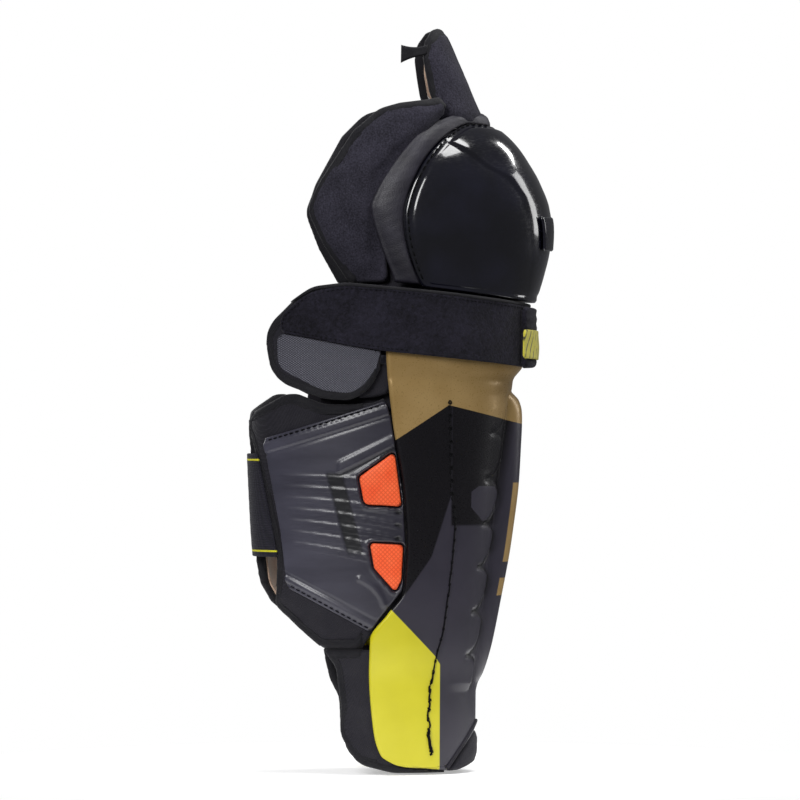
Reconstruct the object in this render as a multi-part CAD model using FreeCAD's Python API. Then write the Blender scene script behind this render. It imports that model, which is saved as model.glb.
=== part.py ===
"""Hockey shin guard for the right leg, nominal size 15 in (381 mm from knee-cap centre to lower edge).

Frame, in millimetres: +Z runs up the shin, +X points forward (the way the knee cap faces) and +Y to the
wearer's left, so the lateral (outer) side of this right-leg guard is -Y. The origin is on the leg's axis,
level with the guard's lower edge.

Every soft or moulded layer is a wall between two offsets of one of four "forms" (leg, cap, knee, tongue).
A form is a stack of oval stations, and a side outline in the XZ plane trims each wall to its panel.
"""
import FreeCAD, Part
import math
import os

from FreeCAD import Vector

os.makedirs("parts", exist_ok=True)

# ---------------------------------------------------------------- driving dimensions
SHELL_WALL = 3.0
RIDGE_HALF_BASE = 21.0        # half width of the shin ridge where it meets the shell
RIDGE_HALF_CREST = 11.0
SHELL_TOP = 305.0
LOBE_TOP = 83.4               # where the fixed ankle lobe ends and the moving calf wing starts
WING_BOTTOM = 84.4
EDGE_GAP = 1.2                # clearance between a panel and the rigid edge beside it
BINDING_WIDTH = 6.5
BINDING_PROUD = 0.6
FAR = 140.0                   # a distance well outside the guard

# Layers of the leg form, as offsets from the inner face of the shin shell.
LINER = (-11.0, -0.5)
LOBE = (-6.5, -0.9)
WING = (-6.0, -1.4)
WING_LINING = (-7.9, -6.7)
PLATE = (-0.7, 1.2)
PLATE_RIB_TOP = 2.6
INSERT = (-0.7, 3.4)
CALF_STRAP = (-0.5, 1.6)
CALF_TAB = (1.8, 3.4)
OVAL = (-0.4, 4.2)
OVAL_FACE = (4.9, 5.4)
BAND = (5.6, 7.6)
BAND_HEM = (7.8, 10.4)
LABEL = (10.6, 11.9)
HOOK_PATCH = (3.2, 4.4)
HOOKS = (4.75, 5.45)
ROLL = (-7.0, -1.6)
BRIDGE = (-2.0, 3.8)
CUFF = (-5.0, 3.0)

# Form stations: (height, front x, centre x, back x, half width)
LEG_FORM = [
    (-6, 48.5, -5, -60, 43.0),
    (60, 49.0, -6, -64, 45.5),
    (90, 52.7, -7, -78, 48.5),
    (125, 57.0, -8, -97, 52.0),
    (180, 63.8, -10, -102, 56.0),
    (240, 71.3, -12, -104, 59.0),
    (264, 74.3, -12, -104, 60.0),
    (276, 82.0, -12, -104, 60.5),
    (345, 82.0, -12, -104, 61.0),
]
CAP_FORM = [
    (306, 90.0, 15, -60, 53.0),
    (338, 100.4, 15, -66, 61.0),
    (355, 104.3, 15, -67, 63.0),
    (371, 105.6, 15, -68, 64.0),
    (384, 103.5, 15, -67, 63.5),
    (400, 96.8, 16, -64, 61.5),
    (413, 89.5, 18, -58, 57.5),
    (426, 80.7, 21, -46, 50.0),
    (437, 69.0, 25, -26, 38.0),
    (446, 52.0, 30, 2, 20.0),
]
KNEE_FORM = [
    (320, 60, -5, -82, 45.5),
    (350, 60, -5, -84, 48.0),
    (385, 60, -5, -84, 52.0),
    (420, 56, -5, -82, 50.5),
    (462, 50, -5, -76, 44.5),
]
TONGUE_FORM = [
    (436, 60.0, 24, -8, 33.0),
    (455, 50.5, 21, -8, 29.0),
    (480, 39.3, 17, -8, 25.5),
    (512, 25.5, 10, -10, 19.0),
]
CAP_CENTRE = Vector(20, 0, 350)
CAP_WALL_SCALE = 0.952        # inner face of the cap shell, as a scale of its outer face
CAP_LINER_SCALES = (0.86, 0.944)
CAP_BORDER_SCALES = (0.90, 0.998)
DONUT_SCALES = (0.74, 0.852)
KNEE_WING = (-5.0, 0.0)
TONGUE_PAD = (-4.4, 0.0)
TONGUE_LINING = (-6.2, -5.0)


# ---------------------------------------------------------------- forms and outlines
def section(station, offset, count=32):
    """Closed oval at one station: a front and a back half ellipse that share their width."""
    height, front, centre, back, half_width = station
    points = []
    for i in range(count):
        turn = 2 * math.pi * i / count
        reach = (front - centre if math.cos(turn) > 0 else centre - back) + offset
        side = (half_width + offset) * math.sin(turn)
        points.append(Vector(centre + reach * math.cos(turn), side, height))
    curve = Part.BSplineCurve()
    curve.interpolate(Points=points, PeriodicFlag=True)
    return Part.Wire([curve.toShape()])


def form(stations, offset=0.0):
    return Part.makeLoft([section(s, offset) for s in stations], True, True)


def wall(stations, layer):
    inner, outer = layer
    return form(stations, outer).cut(form(stations, inner))


def form_half_width(stations, x, z, offset):
    """|y| of the form's surface at a side-view point, for placing small pieces on it."""
    for low, high in zip(stations, stations[1:]):
        if low[0] <= z <= high[0]:
            share = (z - low[0]) / (high[0] - low[0])
            front, centre, back, half = (a + (b - a) * share for a, b in zip(low[1:], high[1:]))
            reach = (front - centre if x > centre else centre - back) + offset
            ratio = min(1.0, abs(x - centre) / reach)
            return (half + offset) * math.sqrt(1 - ratio * ratio)
    raise ValueError("height outside the form")


def outline(corners):
    """Closed wire in the XZ plane. A corner is (x, z) or (x, z, radius)."""
    count = len(corners)
    edges, ends = [], []
    for i, corner in enumerate(corners):
        here = Vector(corner[0], 0, corner[1])
        radius = corner[2] if len(corner) > 2 else 0.0
        before = Vector(corners[i - 1][0], 0, corners[i - 1][1])
        after = Vector(corners[(i + 1) % count][0], 0, corners[(i + 1) % count][1])
        to_before = (before - here).normalize()
        to_after = (after - here).normalize()
        half = to_before.getAngle(to_after) / 2
        if radius <= 0 or half > math.pi / 2 - 0.01:
            ends.append((here, None, here))
            continue
        reach = radius / math.tan(half)
        reach = min(reach, 0.48 * (before - here).Length, 0.48 * (after - here).Length)
        radius = reach * math.tan(half)
        inward = (to_before + to_after).normalize()
        middle = here + inward * (radius / math.sin(half) - radius)
        ends.append((here + to_before * reach, middle, here + to_after * reach))
    for i, (start, middle, end) in enumerate(ends):
        if middle is not None:
            edges.append(Part.Arc(start, middle, end).toShape())
        following = ends[(i + 1) % count][0]
        if (following - end).Length > 1e-6:
            edges.append(Part.makeLine(end, following))
    return Part.Wire(edges)


def slab(wire, y_low, y_high):
    face = Part.Face(wire)
    face.translate(Vector(0, y_low, 0))
    return face.extrude(Vector(0, y_high - y_low, 0))


def lateral(corners, inset=0.0):
    """Prism on the -Y side of the leg, from a side outline."""
    wire = outline(corners)
    if inset:
        wire = wire.makeOffset2D(-inset)
    return slab(wire, -FAR, -0.5)


def block(low, high):
    size = Vector(*high) - Vector(*low)
    return Part.makeBox(size.x, size.y, size.z, Vector(*low))


def largest(shape):
    return max(shape.Solids, key=lambda s: s.Volume)


def solids_of(shape, smallest=5.0):
    found = [s for s in shape.Solids if s.Volume > smallest]
    return found[0] if len(found) == 1 else Part.makeCompound(found)


def medial(shape):
    return shape.mirror(Vector(0, 0, 0), Vector(0, 1, 0))


def save(name, shape):
    if not shape.isValid() or not shape.Solids:
        raise ValueError(f"{name} is not a valid solid")
    shape.exportStep(f"parts/{name}.step")
    print(f"{name}: {len(shape.Solids)} solid(s), {shape.Volume / 1000:.2f} cm3")


def bound_panel(stations, layer, corners, free_region):
    """A padded panel and the binding tape round its free edges, meeting face to face.
    free_region is the block that holds the edges the tape runs along."""
    whole = lateral(corners)
    rim = whole.cut(lateral(corners, BINDING_WIDTH)).common(free_region)
    panel = wall(stations, layer).common(whole.cut(rim))
    proud = (layer[0] - BINDING_PROUD, layer[1] + BINDING_PROUD)
    binding = wall(stations, proud).common(rim)
    return largest(panel), solids_of(binding)


# ---------------------------------------------------------------- side outlines (lateral side)
SHELL_REAR = [(-17.6, 305), (-17, 284), (-12.8, 241), (-4.3, 188), (-2.2, 155), (-3.9, 124), (-25.9, 91)]
CUFF_SEAM_TOP = (52.5, 34.0)
SHELL_OUTLINE = [
    (-17.6, 305), (-17, 284, 30), (-12.8, 241, 30), (-4.3, 188, 30), (-2.2, 155, 30), (-3.9, 124, 12),
    (-25.9, 91, 10), (-26.2, 72, 20), (-23.3, 31, 40), (-16.5, 10, 9), (20, 2.5, 20), (26, 1.2),
    CUFF_SEAM_TOP, (FAR, 34), (FAR, 305),
]
SHELL_REAR_CLEAR = [(x - EDGE_GAP, z) for x, z in SHELL_REAR]

WING_OUTLINE = (
    [(-16.4, 253.5), (-24, 250.8, 4), (-38, 249, 12), (-58, 249.0, 20), (-75, 256, 6), (-82, 256, 10)]
    + [(-103, 243, 9), (-99.8, 222, 20), (-85.8, 146, 40), (-86, 113, 8), (-68, 95, 20)]
    + [(-57.5, WING_BOTTOM)]
    + [(SHELL_REAR_CLEAR[6][0] - 0.4, WING_BOTTOM)]
    + [SHELL_REAR_CLEAR[6], SHELL_REAR_CLEAR[5], SHELL_REAR_CLEAR[4], SHELL_REAR_CLEAR[3]]
    + [SHELL_REAR_CLEAR[2]]
)
ROLL_OUTLINE = [
    (-13.5, 277, 3), (-13.5, 257, 3), (-24, 254, 4), (-36.5, 253.5, 8), (-40, 262, 8), (-30, 277, 8),
]
WING_OUTLINE_MEDIAL = (
    WING_OUTLINE[:7]
    + [(-99.8, 222, 20), (-95.5, 141, 12), (-93, 127, 10), (-86, 114, 12), (-73, 102, 20)]
    + [(-58.5, WING_BOTTOM)]
    + WING_OUTLINE[-6:]
)
LOBE_OUTLINE = [
    (-1, LOBE_TOP), (-56.5, LOBE_TOP), (-46.5, 71, 12), (-43, 46, 20), (-43.5, 26, 20), (-33, 6, 16),
    (-10, 0.4, 30), (26.5, 0.2), (26.5, 7), (-1, 7),
]
PLATE_OUTLINE = [
    (-96, 226.4, 2), (-18.2, 251.5, 2), (-14.2, 241), (-5.7, 188), (-3.6, 155), (-5.6, 124), (-20, 105, 4),
    (-26, 96.5, 3), (-80.5, 125.5, 2), (-85, 164, 30), (-91, 198, 30),
]
INSERT_UPPER = [(-12, 217.5, 2), (-34, 200, 3), (-30.5, 183, 4), (-6.4, 181.6, 2)]
INSERT_LOWER = [(-25.5, 155, 2), (-5.2, 153.8, 2), (-7, 124.5, 3), (-23, 139.5, 4)]
OVAL_OUTLINE = [
    (-19.2, 329.2), (-44.5, 330.4, 40), (-71, 326, 30), (-95, 300, 26), (-90, 266, 22), (-58, 253.5, 30),
    (-40, 252.5, 16), (-29, 260, 14), (-20.4, 273, 6),
]
OVAL_FACE_OUTLINE = [
    (-20.6, 284.0), (-84, 296.5, 4), (-86, 276, 8), (-60, 261, 20), (-42, 257.5, 10), (-26, 270, 8),
]
BAND_REAR_OUTLINE = [
    (-18.6, 328.2), (-44.5, 329.6, 40), (-70, 325, 30), (-87, 308, 12), (-86, 297.8, 3), (-42, 289, 30),
    (-18.6, 285.3),
]
BAND_FRONT_OUTLINE = [(-17.8, 328.1), (26, 323.2), (FAR, 312), (FAR, 270), (54, 277.9), (-17.8, 285.2)]

CAP_BOTTOM = [(-40, 333), (8, 328.5), (FAR, 312.5)]
CAP_STITCH = [
    (62, 447), (42, 441), (30, 435), (18, 425), (8, 412), (0, 396), (-4.2, 381), (-4.4, 370), (-2.5, 357),
    (1.6, 343), (8, 328.5),
]
CAP_BORDER_EDGE = [
    (30, 447), (27, 443.5), (9, 434), (-12, 411.6), (-27.3, 389.3), (-28, 380), (-21.4, 359), (-13, 337),
    (-12, 330.4),
]
KNEE_FOLD_X = -30.0
KNEE_WING_OUTLINE = [
    (KNEE_FOLD_X, 442.5), (-37.5, 434, 12), (-59, 401, 30), (-67.5, 381, 14), (-56.5, 356.6, 30),
    (-40, 332.6, 3), (KNEE_FOLD_X, 332.6),
]
KNEE_GUSSET_OUTLINE = [
    (11, 455, 3), (-5.4, 453, 20), (-20, 449, 20), (KNEE_FOLD_X + 0.8, 443), (KNEE_FOLD_X + 0.8, 389),
    (-13.5, 413), (8, 436), (11, 443),
]
TONGUE_AXIS = (45.0, 446.0)
TONGUE_OUTLINE = [
    (FAR, 506), (29, 506, 3), (21.5, 504, 4), (15, 496, 5), (13, 486, 8), (14.6, 475, 20), (17, 461.8),
    (TONGUE_AXIS[0] - 3, 448.2), (FAR, 448.2),
]


# ---------------------------------------------------------------- shin shell and its fittings (fixed)
def ridge():
    """Raised shin ridge down the shell's front, a loft of trapezoids that runs out near the ankle."""
    crest = [
        (50, 51.0), (62, 57.5), (84, 63.0), (116, 69.8), (156, 77.2), (184, 81.0), (222, 83.0), (250, 83.4),
        (258, 77.0),
    ]
    sections = []
    for z, x in crest:
        half_crest = RIDGE_HALF_CREST * (0.7 + 0.3 * min(1.0, (z - 50) / 60))
        root = x - 15
        corners = [(root, -RIDGE_HALF_BASE), (x, -half_crest), (x, half_crest), (root, RIDGE_HALF_BASE)]
        points = [Vector(px, py, z) for px, py in corners]
        sections.append(Part.makePolygon(points + points[:1]))
    return Part.makeLoft(sections, True, True)


def make_shell():
    trim = slab(outline(SHELL_OUTLINE), -FAR, FAR)
    inside = form(LEG_FORM, 0)
    shell = form(LEG_FORM, SHELL_WALL).fuse(ridge()).cut(inside).common(trim)
    return largest(shell)


def make_liner():
    """Foam liner against the shell's inner face."""
    side = [
        (-12, 288, 12), (2, 188, 40), (4, 155), (4, 92), (4, 9, 10), (26, 9), (50, 40, 10), (FAR, 40),
        (FAR, 296), (10, 296, 20),
    ]
    region = slab(outline(side), -FAR, FAR)
    return largest(wall(LEG_FORM, LINER).common(region))


def make_liner_pads():
    """Raised foam blocks on the liner, either side of the shin bone."""
    bone_gap = block((-FAR, -9, 0), (FAR, 9, 400))
    pads = []
    for low in (62, 118, 174, 230):
        region = slab(outline([(14, low, 8), (14, low + 46, 8), (FAR, low + 46), (FAR, low)]), -FAR, FAR)
        pads += wall(LEG_FORM, (-15.0, -11.3)).common(region).cut(bone_gap).Solids
    return Part.makeCompound(pads)


def make_cuff():
    """Soft ankle cuff that fills the arch at the shell's lower front."""
    x, z = CUFF_SEAM_TOP
    side = [(27.5, 0.2), (x + 1.2, z - 0.6), (FAR, z - 0.6), (FAR, 6), (46, 3.2, 12), (34, 0.2)]
    region = slab(outline(side), -FAR, FAR)
    return largest(wall(LEG_FORM, CUFF).common(region))


def make_lobe():
    whole = lateral(LOBE_OUTLINE)
    rim = whole.cut(lateral(LOBE_OUTLINE, BINDING_WIDTH))
    rim = rim.common(block((-FAR, -FAR, -20), (27, 0, LOBE_TOP + 1)))
    rim = rim.cut(block((-16, -FAR, 7), (FAR, 0, 100)))
    rim = rim.cut(block((-50, -FAR, LOBE_TOP - BINDING_WIDTH - 1), (0, 0, 100)))
    panel = wall(LEG_FORM, LOBE).common(whole.cut(rim))
    binding = wall(LEG_FORM, (LOBE[0] - BINDING_PROUD, LOBE[1] + BINDING_PROUD)).common(rim)
    return largest(panel), solids_of(binding)


SEAM_LINE = [(256, 27), (218, 28), (191, 29), (168, 31.5), (143, 29.5), (116, 26.5), (95, 23.5), (81, 19.5),
             (61, 16), (39, 13.5), (10, 15.5)]


def seam_x(z):
    for (z_high, x_high), (z_low, x_low) in zip(SEAM_LINE, SEAM_LINE[1:]):
        if z_low <= z <= z_high:
            return x_low + (x_high - x_low) * (z - z_low) / (z_high - z_low)
    return SEAM_LINE[-1][1]


def lacing_point(z, offset):
    x = seam_x(z)
    return Vector(x, -form_half_width(LEG_FORM, x, z, offset), z)


def make_lacing():
    """Waxed-thread stitches that lace the shell to the liner down one side, as separate short rods."""
    stitches, pitch, length, radius = [], 8.2, 5.4, 0.7
    z = 252.0
    while z > 14:
        top = lacing_point(z, SHELL_WALL + radius + 0.5)
        bottom = lacing_point(z - length, SHELL_WALL + radius + 0.5)
        along = bottom - top
        stitches.append(Part.makeCylinder(radius, along.Length, top, along))
        z -= pitch
    return Part.makeCompound(stitches)


def make_bridge():
    """Stretch-fabric bridge between the shell's top edge and the knee cap."""
    region = block((30, -FAR, SHELL_TOP + 0.5), (FAR, FAR, 316))
    return largest(wall(LEG_FORM, BRIDGE).common(region))


def make_hook_patch():
    """Loop patch on the shell's front, where the front strap's hooks grip."""
    region = slab(outline([(70, 281, 3), (70, 300, 3), (FAR, 299), (FAR, 280)]), -24, 30)
    return largest(wall(LEG_FORM, HOOK_PATCH).common(region))


# ---------------------------------------------------------------- calf wings and calf strap
def ribbed_plate():
    """Moulded guard plate on the lateral wing, with raised ribs and pockets for the two inserts."""
    plate = wall(LEG_FORM, PLATE).common(lateral(PLATE_OUTLINE))
    ribs = wall(LEG_FORM, (PLATE[0], PLATE_RIB_TOP))
    bars = []
    rib_count, rib_half, first_rear, pitch_rear, first_front, pitch_front = 7, 1.5, 196.0, -9.3, 191.0, -10.4
    for i in range(rib_count):
        rear_z = first_rear + pitch_rear * i
        front_z = first_front + pitch_front * i
        rear_x = -86 + 1.4 * i
        front_x = -8.0 if 1 <= i <= 4 else -32.0
        bars.append(lateral([(rear_x, rear_z - rib_half), (rear_x, rear_z + rib_half),
                             (front_x, front_z + rib_half), (front_x, front_z - rib_half)]))
    frames = [
        [(-92, 222.5), (-92, 225), (-19, 248.4), (-19, 245.6)],
        [(-79, 127.8), (-79, 130.4), (-24, 101.6), (-26, 99.0)],
    ]
    bars += [lateral(f) for f in frames]
    plate = plate.fuse([ribs.common(bar) for bar in bars]).common(lateral(PLATE_OUTLINE))
    for pocket in (INSERT_UPPER, INSERT_LOWER):
        grown = slab(outline(pocket).makeOffset2D(0.6), -FAR, -0.5)
        plate = plate.cut(grown)
    return largest(plate)


def make_plate_stitching():
    """Stitch rows along the plate's upper and lower edges."""
    stitches = []
    for (x0, z0), (x1, z1) in (((-92.0, 224.3), (-20.0, 248.0)), ((-78.0, 127.0), (-27.5, 100.2))):
        count, radius, depth = 15, 0.45, PLATE_RIB_TOP + 0.75
        for i in range(count):
            share = (i + 0.2) / count
            x, z = x0 + (x1 - x0) * share, z0 + (z1 - z0) * share
            x2, z2 = x + (x1 - x0) * 0.6 / count, z + (z1 - z0) * 0.6 / count
            start = Vector(x, -form_half_width(LEG_FORM, x, z, depth), z)
            end = Vector(x2, -form_half_width(LEG_FORM, x2, z2, depth), z2)
            stitches.append(Part.makeCylinder(radius, (end - start).Length, start, end - start))
    return Part.makeCompound(stitches)


def rear_edge_x(z):
    """x of the lateral wing's rear edge, where the calf strap is sewn on."""
    return -99.8 + (222 - z) * 14.0 / 76.0


def make_calf_strap():
    """Elastic strap from the lateral wing's rear edge round the back to the medial wing, and its tab."""
    low, high = 146.0, 216.0
    band = wall(LEG_FORM, CALF_STRAP)
    sewn_edge = [(rear_edge_x(high) - 2, high), (rear_edge_x(low) - 2, low)]
    lateral_part = lateral([(-FAR, low), (-FAR, high)] + sewn_edge)
    centre_part = block((-FAR, -0.6, low), (-60, 0.6, high))
    medial_part = slab(outline([(-FAR, low), (-FAR, high), (-72, high, 6), (-72, low, 6)]), 0.4, FAR)
    strap = band.common(lateral_part.fuse([centre_part, medial_part]))
    tab_side = [(-92, low + 8, 4), (-92, high - 8, 4), (-74, high - 8, 4), (-74, low + 8, 4)]
    tab_region = slab(outline(tab_side), 0, FAR)
    tab = wall(LEG_FORM, CALF_TAB).common(tab_region)
    return largest(strap), largest(tab)


def make_calf_patch():
    """Loop patch on the medial wing that the calf strap's hooks grip."""
    region = slab(outline([(-70, 150, 4), (-70, 212, 4), (-40, 212, 4), (-40, 150, 4)]), 0, FAR)
    return largest(wall(LEG_FORM, (-1.2, -0.1)).common(region))


# ---------------------------------------------------------------- front strap
def make_front_strap():
    """Free part of the front strap, its folded hem, the pull label and the hook pad behind it."""
    band_region = slab(outline(BAND_FRONT_OUTLINE), -FAR, 0.1).fuse(
        slab(outline([(60, 318.0), (FAR, 312), (FAR, 270), (60, 277)]), 0, 20))
    band = largest(wall(LEG_FORM, BAND).common(band_region))
    hem_region = slab(outline([(70, 277, 3), (70, 304, 3), (FAR, 301), (FAR, 274)]), -22, 17)
    hem = largest(wall(LEG_FORM, BAND_HEM).common(hem_region))
    label_region = slab(outline([(70, 281.5), (70, 300), (FAR, 298), (FAR, 279.5)]), -24, 14)
    label = largest(wall(LEG_FORM, LABEL).common(label_region))
    hook_region = slab(outline([(70, 282.5, 3), (70, 298, 3), (FAR, 297), (FAR, 281.5)]), -18, 16)
    hooks = largest(wall(LEG_FORM, HOOKS).common(hook_region))
    return band, hem, label, hooks


# ---------------------------------------------------------------- knee cap
def cap_layer(low_scale, high_scale):
    body = form(CAP_FORM)
    return body.scaled(high_scale, CAP_CENTRE).cut(body.scaled(low_scale, CAP_CENTRE))


def above_cap_bottom(rear_x):
    (x0, z0), (x1, z1), (x2, z2) = CAP_BOTTOM
    return slab(outline([(x0, z0), (x1, z1), (x2, z2), (x2, 470), (x0, 470)]), -FAR, FAR)


def make_cap_shell():
    front_of_stitch = outline(CAP_STITCH + [(FAR, CAP_BOTTOM[2][1]), (FAR, 447)])
    return largest(cap_layer(CAP_WALL_SCALE, 1.0).common(slab(front_of_stitch, -FAR, FAR)))


def make_cap_border():
    """Foam border that carries the cap's rim, from the lacing back to the knee wings."""
    rim = [(x - 0.8, z) for x, z in CAP_STITCH]
    ring = outline(CAP_BORDER_EDGE + rim[::-1])
    return largest(cap_layer(*CAP_BORDER_SCALES).common(slab(ring, -FAR, FAR)))


def make_cap_liner():
    region = outline([
        (14, 331, 6), (6, 352, 20), (3, 378, 20), (8, 398, 20), (24, 420, 12), (44, 434, 6), (FAR, 434),
        (FAR, 320),
    ])
    return largest(cap_layer(*CAP_LINER_SCALES).common(slab(region, -FAR, FAR)))


def make_donut():
    """Ring of soft foam round the kneecap, inside the cap."""
    ring = cap_layer(*DONUT_SCALES)
    region = slab(outline([(34, 334, 8), (26, 376, 30), (36, 410, 12), (FAR, 420), (FAR, 328)]), -FAR, FAR)
    hole = Part.makeCylinder(20, FAR, Vector(30, 0, 374), Vector(1, 0, 0))
    return largest(ring.common(region).cut(hole))


def make_cap_lacing():
    """Stitches along the cap's rim, on both sides, as separate short rods."""
    stitches = []
    rim = CAP_STITCH[1:-1]
    for (x0, z0), (x1, z1) in zip(rim, rim[1:]):
        steps = max(1, round(math.hypot(x1 - x0, z1 - z0) / 5.5))
        for i in range(steps):
            ends = []
            for share in ((i + 0.2) / steps, (i + 0.8) / steps):
                x, z = x0 + (x1 - x0) * share + 2.6, z0 + (z1 - z0) * share
                ends.append(Vector(x, -form_half_width(CAP_FORM, x, z, 1.6), z))
            rod = Part.makeCylinder(0.55, (ends[1] - ends[0]).Length, ends[0], ends[1] - ends[0])
            stitches += [rod, medial(rod)]
    return Part.makeCompound(stitches)


# ---------------------------------------------------------------- build
def main():
    liner = make_liner()
    save("shin_shell", make_shell())
    save("shell_liner", liner)
    save("liner_pads", make_liner_pads())
    save("ankle_cuff", make_cuff())
    lobe, lobe_binding = make_lobe()
    lacing = make_lacing()
    roll = largest(wall(LEG_FORM, ROLL).common(lateral(ROLL_OUTLINE)))
    save("shell_bridge", make_bridge())
    save("strap_loop_patch", make_hook_patch())

    wing_free = block((-FAR, -FAR, WING_BOTTOM), (-30, 0, 300))
    wing, wing_binding = bound_panel(LEG_FORM, WING, WING_OUTLINE, wing_free)
    wing_medial, wing_binding_medial = bound_panel(LEG_FORM, WING, WING_OUTLINE_MEDIAL, wing_free)
    lining_region = lateral([
        (-30, 244, 4), (-76, 248, 6), (-95, 236, 6), (-80, 146, 20), (-80, 116, 6), (-62, 100, 8),
        (-30, 96, 4), (-12, 128, 6), (-10, 188, 10),
    ])
    lining = largest(wall(LEG_FORM, WING_LINING).common(lining_region))

    oval_free = block((-FAR, -FAR, 0), (-24, 0, 400))
    oval, oval_binding = bound_panel(LEG_FORM, OVAL, OVAL_OUTLINE, oval_free)
    oval_face = largest(wall(LEG_FORM, OVAL_FACE).common(lateral(OVAL_FACE_OUTLINE)))

    knee_free = block((-FAR, -FAR, 336), (KNEE_FOLD_X - 0.01, 0, 500))
    knee_wing, knee_binding = bound_panel(KNEE_FORM, KNEE_WING, KNEE_WING_OUTLINE, knee_free)
    gusset = largest(wall(KNEE_FORM, KNEE_WING).common(lateral(KNEE_GUSSET_OUTLINE)))

    for side, turn in (("lateral", lambda s: s), ("medial", medial)):
        save(f"ankle_lobe_{side}", turn(lobe))
        save(f"ankle_lobe_binding_{side}", turn(lobe_binding))
        save(f"shell_lacing_{side}", turn(lacing))
        save(f"shell_roll_{side}", turn(roll))
        save(f"calf_wing_lining_{side}", turn(lining))
        save(f"upper_wing_{side}", turn(oval))
        save(f"upper_wing_binding_{side}", turn(oval_binding))
        save(f"upper_wing_mesh_{side}", turn(oval_face))
        save(f"knee_wing_{side}", turn(knee_wing))
        save(f"knee_wing_binding_{side}", turn(knee_binding))
        save(f"knee_gusset_{side}", turn(gusset))

    save("calf_wing_lateral", wing)
    save("calf_wing_binding_lateral", wing_binding)
    save("calf_wing_medial", medial(wing_medial))
    save("calf_wing_binding_medial", medial(wing_binding_medial))
    save("calf_guard_plate", ribbed_plate())
    save("calf_insert_upper", largest(wall(LEG_FORM, INSERT).common(lateral(INSERT_UPPER))))
    save("calf_insert_lower", largest(wall(LEG_FORM, INSERT).common(lateral(INSERT_LOWER))))
    save("plate_stitching", make_plate_stitching())
    strap, tab = make_calf_strap()
    save("calf_strap", strap)
    save("calf_strap_tab", tab)
    save("calf_loop_patch", make_calf_patch())

    save("front_strap_base", largest(wall(LEG_FORM, BAND).common(lateral(BAND_REAR_OUTLINE))))
    band, hem, label, hooks = make_front_strap()
    save("front_strap", band)
    save("front_strap_hem", hem)
    save("front_strap_label", label)
    save("front_strap_hooks", hooks)

    save("cap_shell", make_cap_shell())
    save("cap_border", make_cap_border())
    save("cap_liner", make_cap_liner())
    save("knee_donut", make_donut())
    save("cap_lacing", make_cap_lacing())

    tongue_region = slab(outline(TONGUE_OUTLINE), -FAR, FAR)
    tongue_inset = slab(outline(TONGUE_OUTLINE).makeOffset2D(-BINDING_WIDTH), -FAR, FAR)
    rim = tongue_region.cut(tongue_inset).common(block((-FAR, -FAR, 463), (60, FAR, 520)))
    save("thigh_tongue", largest(wall(TONGUE_FORM, TONGUE_PAD).common(tongue_region.cut(rim))))
    proud = (TONGUE_PAD[0] - 0.5, TONGUE_PAD[1] + BINDING_PROUD)
    save("thigh_tongue_binding", solids_of(wall(TONGUE_FORM, proud).common(rim)))
    lining_side = [(60, 496), (25, 496, 4), (20.5, 484, 6), (22, 466, 4), (45, 456), (60, 456)]
    lining_region = slab(outline(lining_side), -FAR, FAR)
    save("thigh_tongue_lining", largest(wall(TONGUE_FORM, TONGUE_LINING).common(lining_region)))
    tail_side = [(15, 487.5), (15, 494.5), (8, 492.6), (-3.8, 488.8), (-0.4, 482.4), (8, 486.2)]
    save("thigh_tongue_tail", slab(outline(tail_side), -26.4, -25.0))


main()
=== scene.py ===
"""Hockey shin guard for the right leg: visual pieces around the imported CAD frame.

Lengths are in millimetres until a mesh is made. +X points forward, +Y to the medial side, +Z up the shin.
Each soft or moulded layer lies on a "form", a stack of ovals round the leg, knee cap, knee or thigh.
A point on a form is (angle from the front, height), and panels are laid out flat as (arc length, height).
"""
import functools
import math

import bmesh
import bpy
import numpy as np
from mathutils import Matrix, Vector
from mathutils.geometry import delaunay_2d_cdt
from mathutils.kdtree import KDTree


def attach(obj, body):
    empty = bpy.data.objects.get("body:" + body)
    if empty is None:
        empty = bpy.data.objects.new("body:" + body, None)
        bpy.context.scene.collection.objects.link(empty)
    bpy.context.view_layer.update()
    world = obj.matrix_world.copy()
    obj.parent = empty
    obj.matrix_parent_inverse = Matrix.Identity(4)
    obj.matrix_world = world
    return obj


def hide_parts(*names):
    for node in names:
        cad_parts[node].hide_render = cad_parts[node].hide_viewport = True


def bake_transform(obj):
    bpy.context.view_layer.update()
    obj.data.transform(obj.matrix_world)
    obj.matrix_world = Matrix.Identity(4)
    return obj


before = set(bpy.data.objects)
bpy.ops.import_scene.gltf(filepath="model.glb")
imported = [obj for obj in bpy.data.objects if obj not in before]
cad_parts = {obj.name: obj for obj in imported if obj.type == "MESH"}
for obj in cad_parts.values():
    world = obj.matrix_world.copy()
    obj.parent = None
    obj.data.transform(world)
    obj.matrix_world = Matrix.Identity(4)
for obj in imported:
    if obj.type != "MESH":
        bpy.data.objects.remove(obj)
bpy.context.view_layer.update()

MM = 0.001
LATERAL, MEDIAL = -1, 1
RNG = np.random.default_rng(7)

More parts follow.
